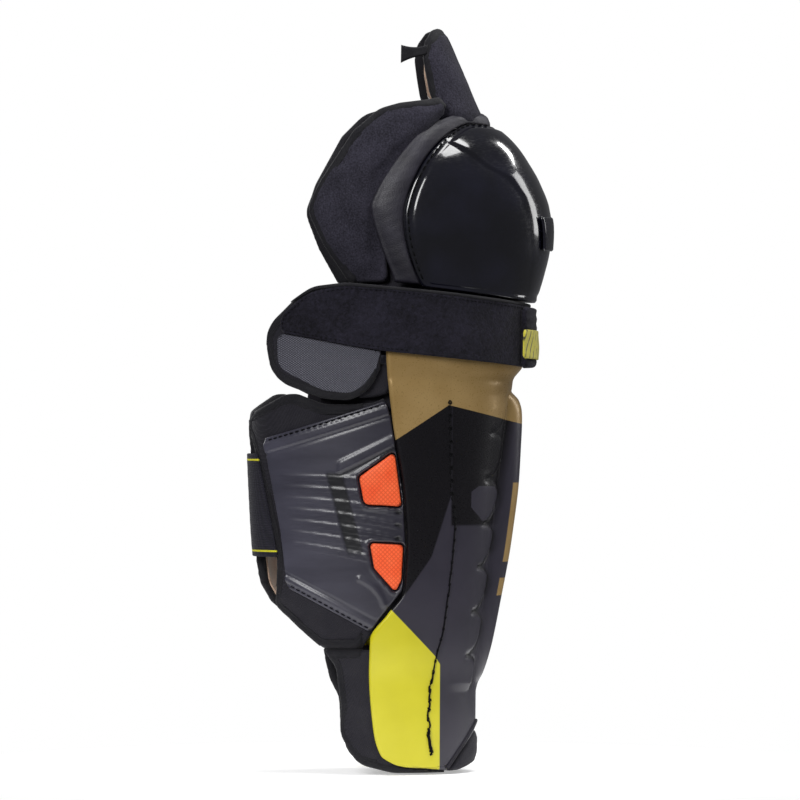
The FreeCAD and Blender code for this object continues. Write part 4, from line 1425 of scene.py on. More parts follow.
def make_cap_badge():
    """Blank raised badge on each cheek of the cap."""
    for side, word in ((LATERAL, "lateral"), (MEDIAL, "medial")):
        rows, columns = 22, 16
        z = np.linspace(354, 377, rows)[:, None] * np.ones((1, columns))
        angle = side * (0.26 + 0.26 * np.linspace(0, 1, columns)[None, :] + 0.0032 * (z - 365))
        grid = cap_point(np.abs(angle), z, 0.998)
        grid[..., 1] *= side
        obj = slab_from_grid(f"knee_cap_badge_{word}", grid, 2.2, [LOOK.cap_plastic], edge=1.1,
                             flip=side == MEDIAL)
        settle(obj, "cap_plastic", "knee_cap")


# ---------------------------------------------------------------- knee wings and tongue
WORDS = {LATERAL: "lateral", MEDIAL: "medial"}
KNEE_SPREAD = {LATERAL: 1.0, MEDIAL: 0.86}
KNEE_PAD = [(25, 457.5, 3), (14, 455.4, 12), (-5.4, 453, 20), (-20, 449, 20), (-37.5, 434, 12),
            (-59, 401, 30), (-67.5, 381, 14),
            (-56.5, 356.6, 30), (-40, 331.8, 4), (-13, 331.8, 4), (-15, 350, 10), (-22, 372, 20),
            (-20, 392, 20),
            (-4, 416, 20), (18, 438, 8), (28, 448, 4)]
KNEE_FREE = [(25, 457.5), (14, 455.4, 12), (-5.4, 453, 20), (-20, 449, 20), (-37.5, 434, 12),
             (-59, 401, 30), (-67.5, 381, 14),
             (-56.5, 356.6, 30), (-41.5, 334)]
TONGUE_SIDE = [(75, 506), (29, 506, 4), (21.5, 504, 4), (15, 496, 6), (13, 486, 8), (14.6, 475, 20),
               (17, 461.8, 10),
               (24, 441), (75, 441)]


def narrowed(corners, start, spread):
    """Corners whose reach behind a starting x is scaled."""
    return [(start + (x - start) * spread if x < start else x, *rest) for x, *rest in corners]


def make_knee_wing(side):
    """Neoprene wing and gusset as one padded panel, with its tape and a second stitched line inside it."""
    lay = Lay(KNEE, side)
    loop = lay.flat(rounded(narrowed(KNEE_PAD, -22, KNEE_SPREAD[side]), 2.0))
    word = WORDS[side]

    def dents(flat, depth):
        soft = 0.55 * np.sin(flat[:, 0] * 0.105 + 1.1) * np.sin(flat[:, 1] * 0.062)
        return soft + 0.25 * np.sin(flat[:, 0] * 0.31 - flat[:, 1] * 0.17)

    panel = pad(f"knee_wing_pad_{word}", lay, loop, KNEE_WING_LAYER, [LOOK.neoprene], crown=2.2, edge=2.4,
                pitch=2.6,
                shape=dents, crown_reach=22.0)
    swell(panel, KNEE_WING_PUFF, both_faces=True)

    free = lay.flat(rounded(narrowed(KNEE_FREE, -22, KNEE_SPREAD[side]), 2.0, closed=False))

    def free_edge(flat):
        return distance_to(free, flat, closed=False) < KNEE_TAPE_REACH

    tape = binding(f"knee_wing_tape_{word}", lay, loop, KNEE_WING_LAYER, [LOOK.binding_tape], 6.0, 0.7,
                   2.2, 22.0, free_edge)
    stitch_path = inset(loop, 5.2)
    keep = free_edge(stitch_path)
    stitch_path = stitch_path[keep]
    seam = stitches(f"knee_wing_stitches_{word}", lay, longest_run(stitch_path), 1.35, LOOK.thread, 3.2,
                    2.3, 0.26)
    fold = ((-27 * MM, 0, 0.385), (-35 * MM, 0, 0.385))
    bodies = ("knee_cap", f"knee_wing_{word}")
    settle_between(panel, "neoprene", bodies, fold, f"knee_wing_{word}", f"knee_gusset_{word}")
    settle_between(tape, "binding_tape", bodies, fold, f"knee_wing_binding_{word}")
    settle_between(seam, "thread", bodies, fold)


def longest_run(path, gap=6.0):
    """The longest stretch of a flat path without a jump, whose start may lie across the ends of the list."""
    jumps = np.linalg.norm(np.diff(np.vstack([path, path[:1]]), axis=0), axis=1) > gap
    if not jumps.any():
        return path
    start = int(np.argmax(jumps)) + 1
    path = np.roll(path, -start, axis=0)
    breaks = [0] + [i + 1 for i in range(len(path) - 1)
                    if np.linalg.norm(path[i + 1] - path[i]) > gap] + [len(path)]
    spans = [(b - a, a, b) for a, b in zip(breaks, breaks[1:])]
    _, a, b = max(spans)
    return path[a:b]


def make_tongue():
    """Padded thigh tongue, its tape, the suede lining that shows at the edge, and the pull tail."""
    lay = Lay(THIGH, origin="front")
    side_path = rounded(TONGUE_SIDE, 2.0, closed=False)
    loop = tidy_loop(lay.both_sides(side_path))

    def dents(flat, depth):
        return 0.5 * np.sin(flat[:, 0] * 0.12 + 0.4) * np.sin(flat[:, 1] * 0.13)

    panel = pad("thigh_tongue_pad", lay, loop, TONGUE_LAYER, [LOOK.tongue_fabric], crown=1.6, edge=2.2,
                pitch=2.4, shape=dents,
                crown_reach=14.0)
    swell(panel, TONGUE_PUFF)
    tape = binding("thigh_tongue_tape", lay, loop, TONGUE_LAYER, [LOOK.binding_tape], 5.8, 0.6, 1.2, 14.0,
                   lambda flat: flat[:, 1] > 449)
    lining_path = rounded([(75, 498), (27, 498, 4), (20, 490, 6), (19.5, 476, 6), (23, 458, 4),
                           (75, 454)], 2.0, closed=False)
    lining = pad("thigh_tongue_suede", lay, tidy_loop(lay.both_sides(lining_path)), TONGUE_LINING_LAYER,
                 [LOOK.lining_suede], edge=0.7,
                 pitch=3.5)
    root = ((0.045, 0, 0.447), (0.043, 0, 0.458))
    for obj, slot, node in ((panel, "tongue_fabric", "thigh_tongue"),
                            (tape, "binding_tape", "thigh_tongue_binding"),
                            (lining, "lining_suede", "thigh_tongue_lining")):
        settle_between(obj, slot, ("knee_cap", "tongue"), root, node)
    rows, columns = 10, 26
    u = np.linspace(0, 1, columns)[None, :]
    v = np.linspace(-1, 1, rows)[:, None]
    x = 16.0 - 18.5 * u + 0 * v
    width = 3.2 + 1.6 * u ** 3 - 0.6 * np.sin(math.pi * u)
    z = 490.8 - 5.0 * u + 1.8 * u * u + width * v + 1.4 * u * v
    y = -25.4 - 0.9 * np.sin(math.pi * u) + 0.5 * np.sin(2.0 * math.pi * u) * v
    tail = slab_from_grid("thigh_tongue_pull_tail", np.stack([x, y, z], axis=-1), 1.3,
                          [LOOK.binding_tape], edge=0.6, flip=True)
    settle(tail, "tongue_fabric", "tongue", "thigh_tongue_tail")


def tidy_loop(loop, closest=0.7):
    """The loop without points that nearly coincide with the one before."""
    kept = [loop[0]]
    for point in loop[1:]:
        if np.linalg.norm(point - kept[-1]) > closest:
            kept.append(point)
    if np.linalg.norm(kept[-1] - kept[0]) < closest:
        kept.pop()
    return np.array(kept)


# ---------------------------------------------------------------- soft parts on the shell
LINER_SIDE = [(120, 296), (12, 296, 14), (-10, 282, 10), (-3.4, 188, 40), (-1.2, 155, 20),
              (-2.6, 124, 20), (-12, 96, 10), (2, 84, 6),
              (4, 40), (4, 10, 8), (24, 9, 6), (40, 36, 8), (120, 38)]
LOBE_CORNERS = [(-1, 83.4), (-55.0, 83.4), (-46.5, 71, 12), (-43, 46, 20), (-43.5, 26, 20), (-33, 6, 16),
                (-10, 0.4, 30),
                (27.5, 0.2), (27.5, 8), (8, 14, 6), (-8, 20, 8), (-14, 44, 20), (-14, 83.2)]
LOBE_CORNERS_MEDIAL = [(-1, 83.2), (-48, 83.2), (-46, 71, 12), (-43.3, 60, 14), (-37, 48, 14),
                       (-36, 26, 20), (-30, 6, 16),
                       *LOBE_CORNERS[6:]]
ROLL_CORNERS = [(-13.5, 277, 4), (-13.5, 257, 4), (-24, 254, 4), (-36.5, 253.5, 8), (-40, 262, 8),
                (-30, 277, 8)]


def make_liner():
    """Quilted foam liner inside the shell, and its raised blocks beside the shin bone."""
    lay = Lay(LEG, origin="front")
    path = rounded(LINER_SIDE, 3.0, closed=False)
    loop = tidy_loop(lay.both_sides(path), 1.2)

    def quilting(flat):
        rows = np.abs(((flat[:, 1] - 34) / 28) % 1 - 0.5) * 2
        columns = np.abs((flat[:, 0] / 24) % 1 - 0.5) * 2
        return -1.6 * (bell(1 - rows, 0.10) + bell(1 - columns, 0.10))

    liner = pad("shell_liner_foam", lay, loop, LINER_LAYER, [LOOK.liner_foam], edge=3.5, pitch=4.2)
    push_inner_face(liner, quilting)
    settle(liner, "liner_foam", "shin", "shell_liner")
    parts = []
    for low in (62, 118, 174, 230):
        for side in (LATERAL, MEDIAL):
            lay_side = Lay(LEG, side)
            corners = [(14, low, 8), (14, low + 46, 8), (44, low + 46, 8), (44, low, 8)]
            block = lay_side.flat(rounded(corners, 2.5), -11.0)
            parts.append(pad("liner_block", lay_side, block, BLOCK_LAYER, [LOOK.liner_foam], edge=2.0,
                             pitch=3.2))
    blocks = join(parts, "shell_liner_blocks")
    settle(blocks, "liner_foam", "shin", "liner_pads")


def push_inner_face(obj, shape):
    """Presses quilting lines into the leg side of a liner."""
    centre = np.array([-10.0, 0.0])
    vertices = vertex_array(obj.data)
    forward, across = vertices[:, 0] - centre[0], vertices[:, 1]
    flat = np.column_stack([np.hypot(forward, across) * np.arctan2(across, forward), vertices[:, 2]])
    normals = np.array([v.normal for v in obj.data.vertices])
    facing = (normals[:, :2] * (vertices[:, :2] - centre)).sum(1) < 0
    away = unit(vertices[:, :2] - centre)
    vertices[:, :2] -= away * (shape(flat) * facing)[:, None]
    obj.data.vertices.foreach_set("co", (vertices * MM).ravel())
    obj.data.update()


def join(objects, name):
    """Joins mesh objects into one, with the first one's materials."""
    vertices, faces = merge([(vertex_array(o.data), [tuple(p.vertices) for p in o.data.polygons])
                             for o in objects])
    materials = list(objects[0].data.materials)
    for o in objects:
        bpy.data.objects.remove(o)
    return new_object(name, vertices, faces, materials)


def make_lobe(side):
    """Ankle lobe: the fixed lower end of the calf wing, and its tape."""
    lay = Lay(LEG, side)
    loop = lay.flat(rounded(LOBE_CORNERS if side == LATERAL else LOBE_CORNERS_MEDIAL, 2.0), -3.0)
    word = WORDS[side]
    panel = pad(f"ankle_lobe_pad_{word}", lay, loop, LOBE_LAYER, [LOOK.wing_fabric], crown=0.9, edge=2.4,
                pitch=2.6)
    swell(panel, LOBE_PUFF)

    def free_edge(flat):
        x, _, z = lay.space(flat, -3.0).T
        return (z < 82.6 + 0.35 * (x + 57)) & ((x < -30) | (z < 7.5 - 0.12 * (x + 30))
                                               | ((x < -18) & (z < 24)))

    tape = binding(f"ankle_lobe_tape_{word}", lay, loop, LOBE_LAYER, [LOOK.binding_tape], 6.2, 0.7, 0.9,
                   16.0, free_edge)
    settle(panel, "wing_fabric", "shin", f"ankle_lobe_{word}")
    settle(tape, "binding_tape", "shin", f"ankle_lobe_binding_{word}")


def make_roll(side):
    """Small padded roll that closes the shell's rear edge under the upper wing."""
    lay = Lay(LEG, side)
    loop = lay.flat(rounded(ROLL_CORNERS, 1.6), -3.0)
    roll = pad(f"shell_edge_roll_{WORDS[side]}", lay, loop, ROLL_LAYER, [LOOK.wing_fabric], crown=0.4,
               edge=2.6, pitch=2.0)
    settle(roll, "wing_fabric", "shin", f"shell_roll_{WORDS[side]}")
    for level, corners in (("lower", [(-12, 264, 3), (-58, 266, 6), (-60, 243, 6), (-12, 241, 3)]),
                           ("upper", [(-8, 302, 3), (-34, 302, 4), (-34, 284, 4), (-8, 282, 3)])):
        skirt_loop = lay.flat(rounded(corners, 2.4), -8.7)
        skirt = pad(f"shell_edge_skirt_{level}_{WORDS[side]}", lay, skirt_loop, SKIRT_LAYER,
                    [LOOK.wing_fabric],
                    edge=0.5, pitch=3.0)
        settle(skirt, "wing_fabric", "shin")


def make_cuff():
    """Padded ankle cuff in the instep arch, with a piped seam along the shell's edge."""
    lay = Lay(LEG, origin="front")
    seam = [(60.0, 35.0), (52.8, 33.5, 4), (26.5, 1.6, 2)]
    path = rounded(seam + [(30, 0.6, 2), (36, 0.8, 4), (46, 4.0, 6), (60, 7.5)], 1.6, closed=False)
    loop = tidy_loop(lay.both_sides(path))

    def folds(flat, depth):
        return 0.5 * np.sin(flat[:, 0] * 0.20 + 0.9) * np.sin(flat[:, 1] * 0.33)

    cuff = pad("ankle_cuff_pad", lay, loop, CUFF_LAYER, [LOOK.cuff_fabric], crown=1.2, edge=3.0,
               pitch=2.2, shape=folds,
               crown_reach=10.0)
    swell(cuff, CUFF_PUFF)
    settle(cuff, "cuff_fabric", "shin", "ankle_cuff")
    band = rounded([(60, 42), (50.0, 40.0, 5), (24.5, 7.0, 2), (30.0, 4.0, 2), (55.4, 27.0, 4), (60, 28)],
                   1.6, closed=False)
    sewn_pad("ankle_cuff_facing", lay, tidy_loop(lay.both_sides(band)), CUFF_FACING_LAYER, "cuff_fabric",
             "shin", edge=0.5, pitch=2.6)
    piping = []
    for side in (LATERAL, MEDIAL):
        one = Lay(LEG, side)
        line = rounded([(51.2, 33.6), (27.0, 2.4)], 1.5, closed=False)
        points = one.space(one.flat(line, 3.2), 3.4)
        piping.append(tube_along(points, 1.15, 10))
    tube = new_object("ankle_cuff_piping", *merge(piping), [LOOK.cuff_fabric])
    settle(tube, "cuff_fabric", "shin")


def make_bridge():
    """Gathered stretch fabric from the shell's top up inside the knee cap, and the loop patch below it."""
    rows, columns = 26, 150
    turn = np.linspace(-1.0, 1.0, columns)[None, :] * math.radians(112) * np.ones((rows, 1))
    z = np.linspace(BRIDGE_LOW, BRIDGE_HIGH, rows)[:, None] * np.ones((1, columns))
    leg = np.stack(LEG.point(np.abs(turn), z, -2.6), axis=-1)
    knee = np.stack(KNEE.point(np.abs(turn), np.maximum(z, 320.0), -7.4), axis=-1)
    knee[..., 2] = z
    share = ramp_up(z - 311, 24)
    share = smooth_step(share)[..., None]
    grid = leg * (1 - share) + knee * share
    grid[..., 1] *= np.where(turn < 0, -1, 1)

    def gathers(along, across, depth):
        return 0.55 * np.sin(along * 0.9 + 0.8 * np.sin(along
                                                        * 0.23)) * bulge(depth,
                                                                         6) + 0.3 * np.sin(across * 0.5)

    bridge = slab_from_grid("shell_bridge_fabric", grid, BRIDGE_THICKNESS, [LOOK.cuff_fabric], edge=1.1,
                            relief=gathers)
    stretch = ((0.04, 0, 0.309), (0.04, 0, 0.343))
    settle_between(bridge, "cuff_fabric", ("shin", "knee_cap"), stretch, "shell_bridge")
    make_apron(grid[rows - 2])
    lay = Lay(LEG, origin="front")
    patch_loop = rounded([(-23.5, 281.5, 3), (-23.5, 300, 3), (29.5, 300, 3), (29.5, 281.5, 3)], 1.6)
    sewn_pad("shell_loop_patch", lay, patch_loop, SHELL_PATCH_LAYER, "strap_loop", "shin",
             "strap_loop_patch", edge=0.6, pitch=2.2)


def make_apron(bridge_top):
    """Fabric floor inside the cap, from its lining back to the top of the stretch bridge."""
    rows, columns = 14, 90
    turn = np.linspace(-1.0, 1.0, columns) * math.radians(84)
    front = cap_point(np.abs(turn), np.full(columns, 335.0), 0.95)
    front[:, 1] *= np.where(turn < 0, -1, 1)
    bearing = np.arctan2(front[:, 1], front[:, 0])
    own = np.arctan2(bridge_top[:, 1], bridge_top[:, 0])
    back = np.column_stack([np.interp(bearing, own, bridge_top[:, k]) for k in range(3)])
    share = np.linspace(0, 1, rows)[:, None, None]
    grid = front[None] * (1 - share) + back[None] * share
    grid[..., 2] = 335.0 + (back[None, :, 2] - 335.0) * share[..., 0] ** 1.6
    apron = slab_from_grid("knee_cap_apron", grid, 1.2, [LOOK.cuff_fabric], edge=0.5)
    settle(apron, "cuff_fabric", "knee_cap")


# ---------------------------------------------------------------- calf wings, guard plate and calf strap
SHELL_REAR_LINE = [(-13.0, 241), (-5.5, 188), (-3.4, 155), (-5.1, 124), (-27.1, 91)]
WING_TOP = [(-18.2, 253.5), (-24, 250.8, 4), (-38, 249, 12), (-58, 249.0, 20), (-75, 256, 6),
            (-82, 256, 10), (-103, 243, 9)]
WING_REAR = {
    LATERAL: [(-99.8, 222, 20), (-85.8, 146, 40), (-86, 113, 8), (-68, 95, 20), (-56.0, 84.2)],
    MEDIAL: [(-99.8, 222, 20), (-95.5, 141, 12), (-93, 127, 10), (-85, 114, 12), (-72, 103, 20),
             (-49, 84.4)],
}
LINING_TOP = [(-30, 244, 4), (-76, 248, 6), (-95, 236, 6)]
LINING_REAR = {
    LATERAL: [(-80, 146, 20), (-80, 116, 6), (-62, 100, 8), (-30, 96, 4)],
    MEDIAL: [(-91, 146, 20), (-88.5, 128, 8), (-80, 114, 10), (-62, 101, 8), (-30, 96, 4)],
}
LINING_FRONT = [(-12, 128, 6), (-10, 188, 10)]
PLATE_CORNERS = [(-96, 226.4, 2), (-17.0, 252.0, 2), (-13.6, 241), (-5.1, 188), (-3.0, 155),
                 (-4.8, 124, 4), (-20, 104.5, 6),
                 (-26, 95.5, 3), (-80.5, 125.5, 2), (-85, 164, 30), (-91, 198, 30)]
POCKET_UPPER = [(-10.9, 217.5, 2), (-34.5, 200.5, 3), (-31, 182, 4), (-5.9, 180.4, 2)]
POCKET_LOWER = [(-27, 156, 2), (-4.6, 154.8, 2), (-5.6, 131, 3), (-9.6, 122.5, 2), (-24, 139.0, 4)]
STRAP_LOW, STRAP_HIGH = 146.0, 216.0


def make_calf_wing(side):
    """Padded calf wing with its tape and suede lining."""
    lay = Lay(LEG, side)
    word = WORDS[side]
    corners = WING_TOP + WING_REAR[side] + [(-31.5, 84.4)] + [(x, z) for x, z in SHELL_REAR_LINE[::-1]]
    loop = lay.flat(rounded(corners, 2.4), -3.0)

    def dents(flat, depth):
        return 0.5 * np.sin(flat[:, 0] * 0.09) * np.sin(flat[:, 1] * 0.06
                                                        + 0.5) + 0.2 * np.sin(flat[:, 1] * 0.33)

    panel = pad(f"calf_wing_pad_{word}", lay, loop, CALF_WING_LAYER, [LOOK.wing_fabric], crown=0.5,
                edge=2.2, pitch=3.2, shape=dents)
    swell(panel, CALF_WING_PUFF)

    def free_edge(flat):
        x, _, z = lay.space(flat, -3.0).T
        return (x < -30) & (z > 85.2 - 0.35 * (x + 57))

    tape = binding(f"calf_wing_tape_{word}", lay, loop, CALF_WING_LAYER, [LOOK.binding_tape], 6.5, 0.7,
                   0.5, 16.0, free_edge)
    suede_loop = lay.flat(rounded(LINING_TOP + LINING_REAR[side] + LINING_FRONT, 2.6), -7.3)
    lining = pad(f"calf_wing_suede_{word}", lay, suede_loop, CALF_LINING_LAYER, [LOOK.lining_suede],
                 edge=0.8, pitch=3.6)
    body = f"calf_wing_{word}"
    settle(panel, "wing_fabric", body, f"calf_wing_{word}")
    settle(tape, "binding_tape", body, f"calf_wing_binding_{word}")
    settle(lining, "lining_suede", body, f"calf_wing_lining_{word}")


def band_profile(distance, half, soft=0.9):
    """1 inside a raised bar of the given half width, falling off over a soft edge."""
    return 1 - np.clip((np.abs(distance) - half) / soft + 0.5, 0, 1) ** 1.5


def make_guard_plate():
    """Moulded plate: rolled frames at top and bottom, seven arched ribs, and two pockets for the inserts."""
    lay = Lay(LEG, LATERAL)
    loop = lay.flat(rounded(PLATE_CORNERS, 1.6), 0.0)
    pockets = [lay.flat(rounded(p, 1.2), 0.0) for p in (POCKET_UPPER, POCKET_LOWER)]
    grown = [inset(p, -0.7) for p in pockets]
    depths = [0.15, 0.5, 1.0, 1.6, 2.4]
    flat, faces = flat_triangles([loop] + grown, depths, 1.35, loop)
    depth = distance_to(loop, flat)
    rim = depth.copy()
    for pocket in grown:
        rim = np.minimum(rim, distance_to(pocket, flat))
    rim[rim < 1e-3] = 0
    x = lay.space(flat, 1.0)[:, 0]
    z = flat[:, 1]
    height = 0.9 + 0.25 * ramp_up(x + 90, 80)
    bar_x = -50.5 + (201.0 - z) * 13.5 / 51.0
    in_bar = band_profile(x - bar_x, 5.2, 1.2) * ramp_up(z - 146, 6) * ramp_up(204 - z, 2)
    chevron_top = 203.5 + (x + 46.0) * 0.5
    under = band_profile(z - chevron_top + 1.6, 1.8, 1.2) * ramp_up(x + 50, 2) * ramp_up(-9 - x, 2)
    arm = band_profile(z - chevron_top - 4.6, 3.6, 1.6) * ramp_up(x + 50, 3) * ramp_up(-9 - x, 2)
    # Painted shade: the recessed bar, the underside of the chevron arm and the slot mouths are also painted
    # dark by the plate's material.
    recess_and_shade = np.maximum(in_bar, 0.7 * under)
    height += 1.1 * arm - 0.7 * recess_and_shade
    for i in range(7):
        front_x = -4.0 if 2 <= i <= 4 else -31.0 + 2.5 * (i > 4)
        share = ramp_up(x + 86, 82)
        centre = 199.5 - 7.35 * i - (5.5 + 1.75 * i) * share + 1.6 * np.sin(math.pi * share)
        ends = ramp_up(x + 88 - 1.2 * i, 5) * ramp_up(front_x + 1.5 - x, 3)
        ends = ends * (0.45 + 0.55 * np.clip(share * 1.6, 0, 1))
        height += ends * (0.9 * band_profile(z - centre - 1.5, 0.7, 0.8) + 0.6
                          * band_profile(z - centre + 1.2, 0.6, 0.8))
        if front_x > -10:
            slot_mouth = band_profile(z - centre - 0.4, 1.1,
                                      0.6) * ramp_up(x + 11, 2) * ramp_up(-5.5 - x, 1)
            height -= 1.6 * slot_mouth
            recess_and_shade = np.maximum(recess_and_shade, slot_mouth)
    top_z = 226.4 + (x + 96) * (252.0 - 226.4) / 79.0
    low_z = 125.5 + (x + 80.5) * (95.5 - 125.5) / 54.5
    for gap, reach in ((top_z - z, 11.0), (z - low_z, 8.5)):
        height += 0.9 * band_profile(gap - reach / 2 - 1.2, reach / 2 - 2.4, 1.0)
        height -= 0.8 * bell(gap - reach - 0.4, 0.9) + 0.5 * bell(gap - 2.2, 0.8)
    along = ramp_up((x + 33.8) * 16.9 - (z - 131.9) * 17.9, 606.0)
    hook = np.hypot(x - (-33.8 + 16.9 * along + 2.0 * np.sin(math.pi * along)),
                    z - (131.9 - 17.9 * along + 2.0 * np.sin(math.pi * along)))
    height += 1.3 * band_profile(hook, 1.6, 1.2)
    height += 0.9 * bell(np.minimum.reduce([distance_to(g, flat) for g in grown]) - 1.3, 1.1)
    rounding = bulge(rim, 1.0)
    top = np.minimum(-0.1 + height * rounding + 0.5 * rounding, 3.2)
    bottom = np.where(rim > 0, -1.2, -0.9)
    plate = closed_layer("calf_guard_moulding", lay, flat, faces, top, bottom, [LOOK.plate_plastic])
    # Stores the painted shade of the recesses for the plate's material.
    mark(plate, "recess_and_shade", np.concatenate([recess_and_shade, 0 * recess_and_shade])[:len(plate.data.vertices)])
    settle(plate, "plate_plastic", "calf_wing_lateral", "calf_guard_plate")
    for word, pocket in (("upper", pockets[0]), ("lower", pockets[1])):
        sewn_pad(f"calf_guard_insert_{word}", lay, pocket, INSERT_LAYER, "insert_foam",
                 "calf_wing_lateral", f"calf_insert_{word}", crown=1.0, edge=1.6, pitch=1.4,
                 crown_reach=9.0)
    rows = []
    for (x0, z0), (x1, z1) in (((-94.0, 225.0), (-18.5, 249.6)), ((-79.5, 127.0), (-27.0, 97.9))):
        line = np.column_stack([np.linspace(x0, x1, 120), np.linspace(z0, z1, 120)])
        rows.append(stitches("plate_stitch_row", lay, lay.flat(line, 1.0), 1.35, LOOK.thread, 4.4, 3.1,
                             0.34, 0.4))
    thread_rows = join(rows, "calf_guard_stitches")
    settle(thread_rows, "thread", "calf_wing_lateral", "plate_stitching")


def make_calf_strap():
    """Elastic strap round the calf, its hook tab and the loop patch that it grips."""
    lay = Lay(LEG, origin="back")
    rise = np.linspace(STRAP_HIGH, STRAP_LOW, 36)
    rear_x = -99.8 + (222 - rise) * 14.0 / 76.0
    near = lay.flat(np.column_stack([rear_x - 1.0, rise]), 0.5, LATERAL)
    end = lay.flat(rounded([(-72, STRAP_LOW, 0), (-68, STRAP_LOW + 5, 0), (-68, STRAP_HIGH - 5, 0),
                            (-72, STRAP_HIGH, 0)], 2.0, False),
                   0.5, MEDIAL)
    loop = tidy_loop(resample(np.vstack([near, end]), 2.0, closed=True))

    def ribs(flat, depth):
        return 0.05 * np.sin(flat[:, 1] * 2 * math.pi / 8.0) - 0.12 * np.sin(flat[:, 0] * 0.15)

    strap = pad("calf_strap_elastic", lay, loop, STRAP_LAYER, [LOOK.strap_elastic], edge=0.9, pitch=1.9,
                shape=ribs)
    hinge = ((-0.0930, -0.0250, 0.181), (-0.0960, -0.0205, 0.181))
    settle_between(strap, "strap_elastic", ("calf_wing_lateral", "calf_strap"), hinge, "calf_strap")
    medial = Lay(LEG, MEDIAL)
    tab_loop = medial.flat(rounded([(-92, STRAP_LOW + 8, 4), (-92, STRAP_HIGH - 8, 4),
                                    (-74, STRAP_HIGH - 8, 4),
                                    (-74, STRAP_LOW + 8, 4)], 1.8), 2.0)
    sewn_pad("calf_strap_hook_tab", medial, tab_loop, STRAP_TAB_LAYER, "hook_tape", "calf_strap",
             "calf_strap_tab", edge=0.6, pitch=2.2)
    patch_loop = medial.flat(rounded([(-70, 150, 4), (-70, 212, 4), (-40, 212, 4), (-40, 150, 4)], 1.8),
                             -0.5)
    sewn_pad("calf_wing_loop_patch", medial, patch_loop, WING_PATCH_LAYER, "strap_loop",
             "calf_wing_medial", "calf_loop_patch", edge=0.5, pitch=2.4)


# ---------------------------------------------------------------- upper wings and front strap
OVAL_SPREAD = {LATERAL: 1.0, MEDIAL: 0.80}
OVAL_CORNERS = [(-19.8, 329.2), (-44.5, 330.4, 40), (-71, 326, 30), (-95, 300, 26), (-90, 266, 22),
                (-58, 253.5, 30),
                (-40, 252.5, 16), (-29, 260, 14), (-21.0, 273, 6)]
OVAL_FACE_CORNERS = [(-21.0, 285.0), (-88.5, 298.0, 4), (-88.2, 274, 12), (-60, 258.8, 24),
                     (-40, 256.6, 14), (-25.5, 268, 8)]
BAND_REAR = [(-44.5, 329.6, 40), (-70, 325, 30), (-87, 308, 12), (-86, 297.8, 3), (-42, 289, 30)]


def make_upper_wing(side):
    """Oval padded wing with its tape and the woven mesh on its lower half."""
    lay = Lay(LEG, side)
    word = WORDS[side]
    spread = OVAL_SPREAD[side]
    loop = lay.flat(rounded(narrowed(OVAL_CORNERS, -20, spread), 2.0), 2.0)

    def dents(flat, depth):
        return 0.35 * np.sin(flat[:, 0] * 0.14 + 0.3) * np.sin(flat[:, 1] * 0.11)

    panel = pad(f"upper_wing_pad_{word}", lay, loop, UPPER_WING_LAYER, [LOOK.wing_fabric], crown=0.3,
                edge=2.4, pitch=2.6, shape=dents)

    def free_edge(flat):
        return lay.space(flat, 2.0)[:, 0] < -23.5

    tape = binding(f"upper_wing_tape_{word}", lay, loop, UPPER_WING_LAYER, [LOOK.binding_tape], 6.0, 0.7,
                   0.3, 16.0, free_edge)
    face_loop = lay.flat(rounded(narrowed(OVAL_FACE_CORNERS, -20, spread), 1.8), 4.9)
    face = pad(f"upper_wing_mesh_face_{word}", lay, face_loop, MESH_LAYER, [LOOK.mesh_fabric], crown=0.5,
               edge=0.5, pitch=2.2,
               crown_reach=10.0)
    body = f"upper_wing_{word}"
    settle(panel, "wing_fabric", body, f"upper_wing_{word}")
    settle(tape, "binding_tape", body, f"upper_wing_binding_{word}")
    settle(face, "mesh_fabric", body, f"upper_wing_mesh_{word}")


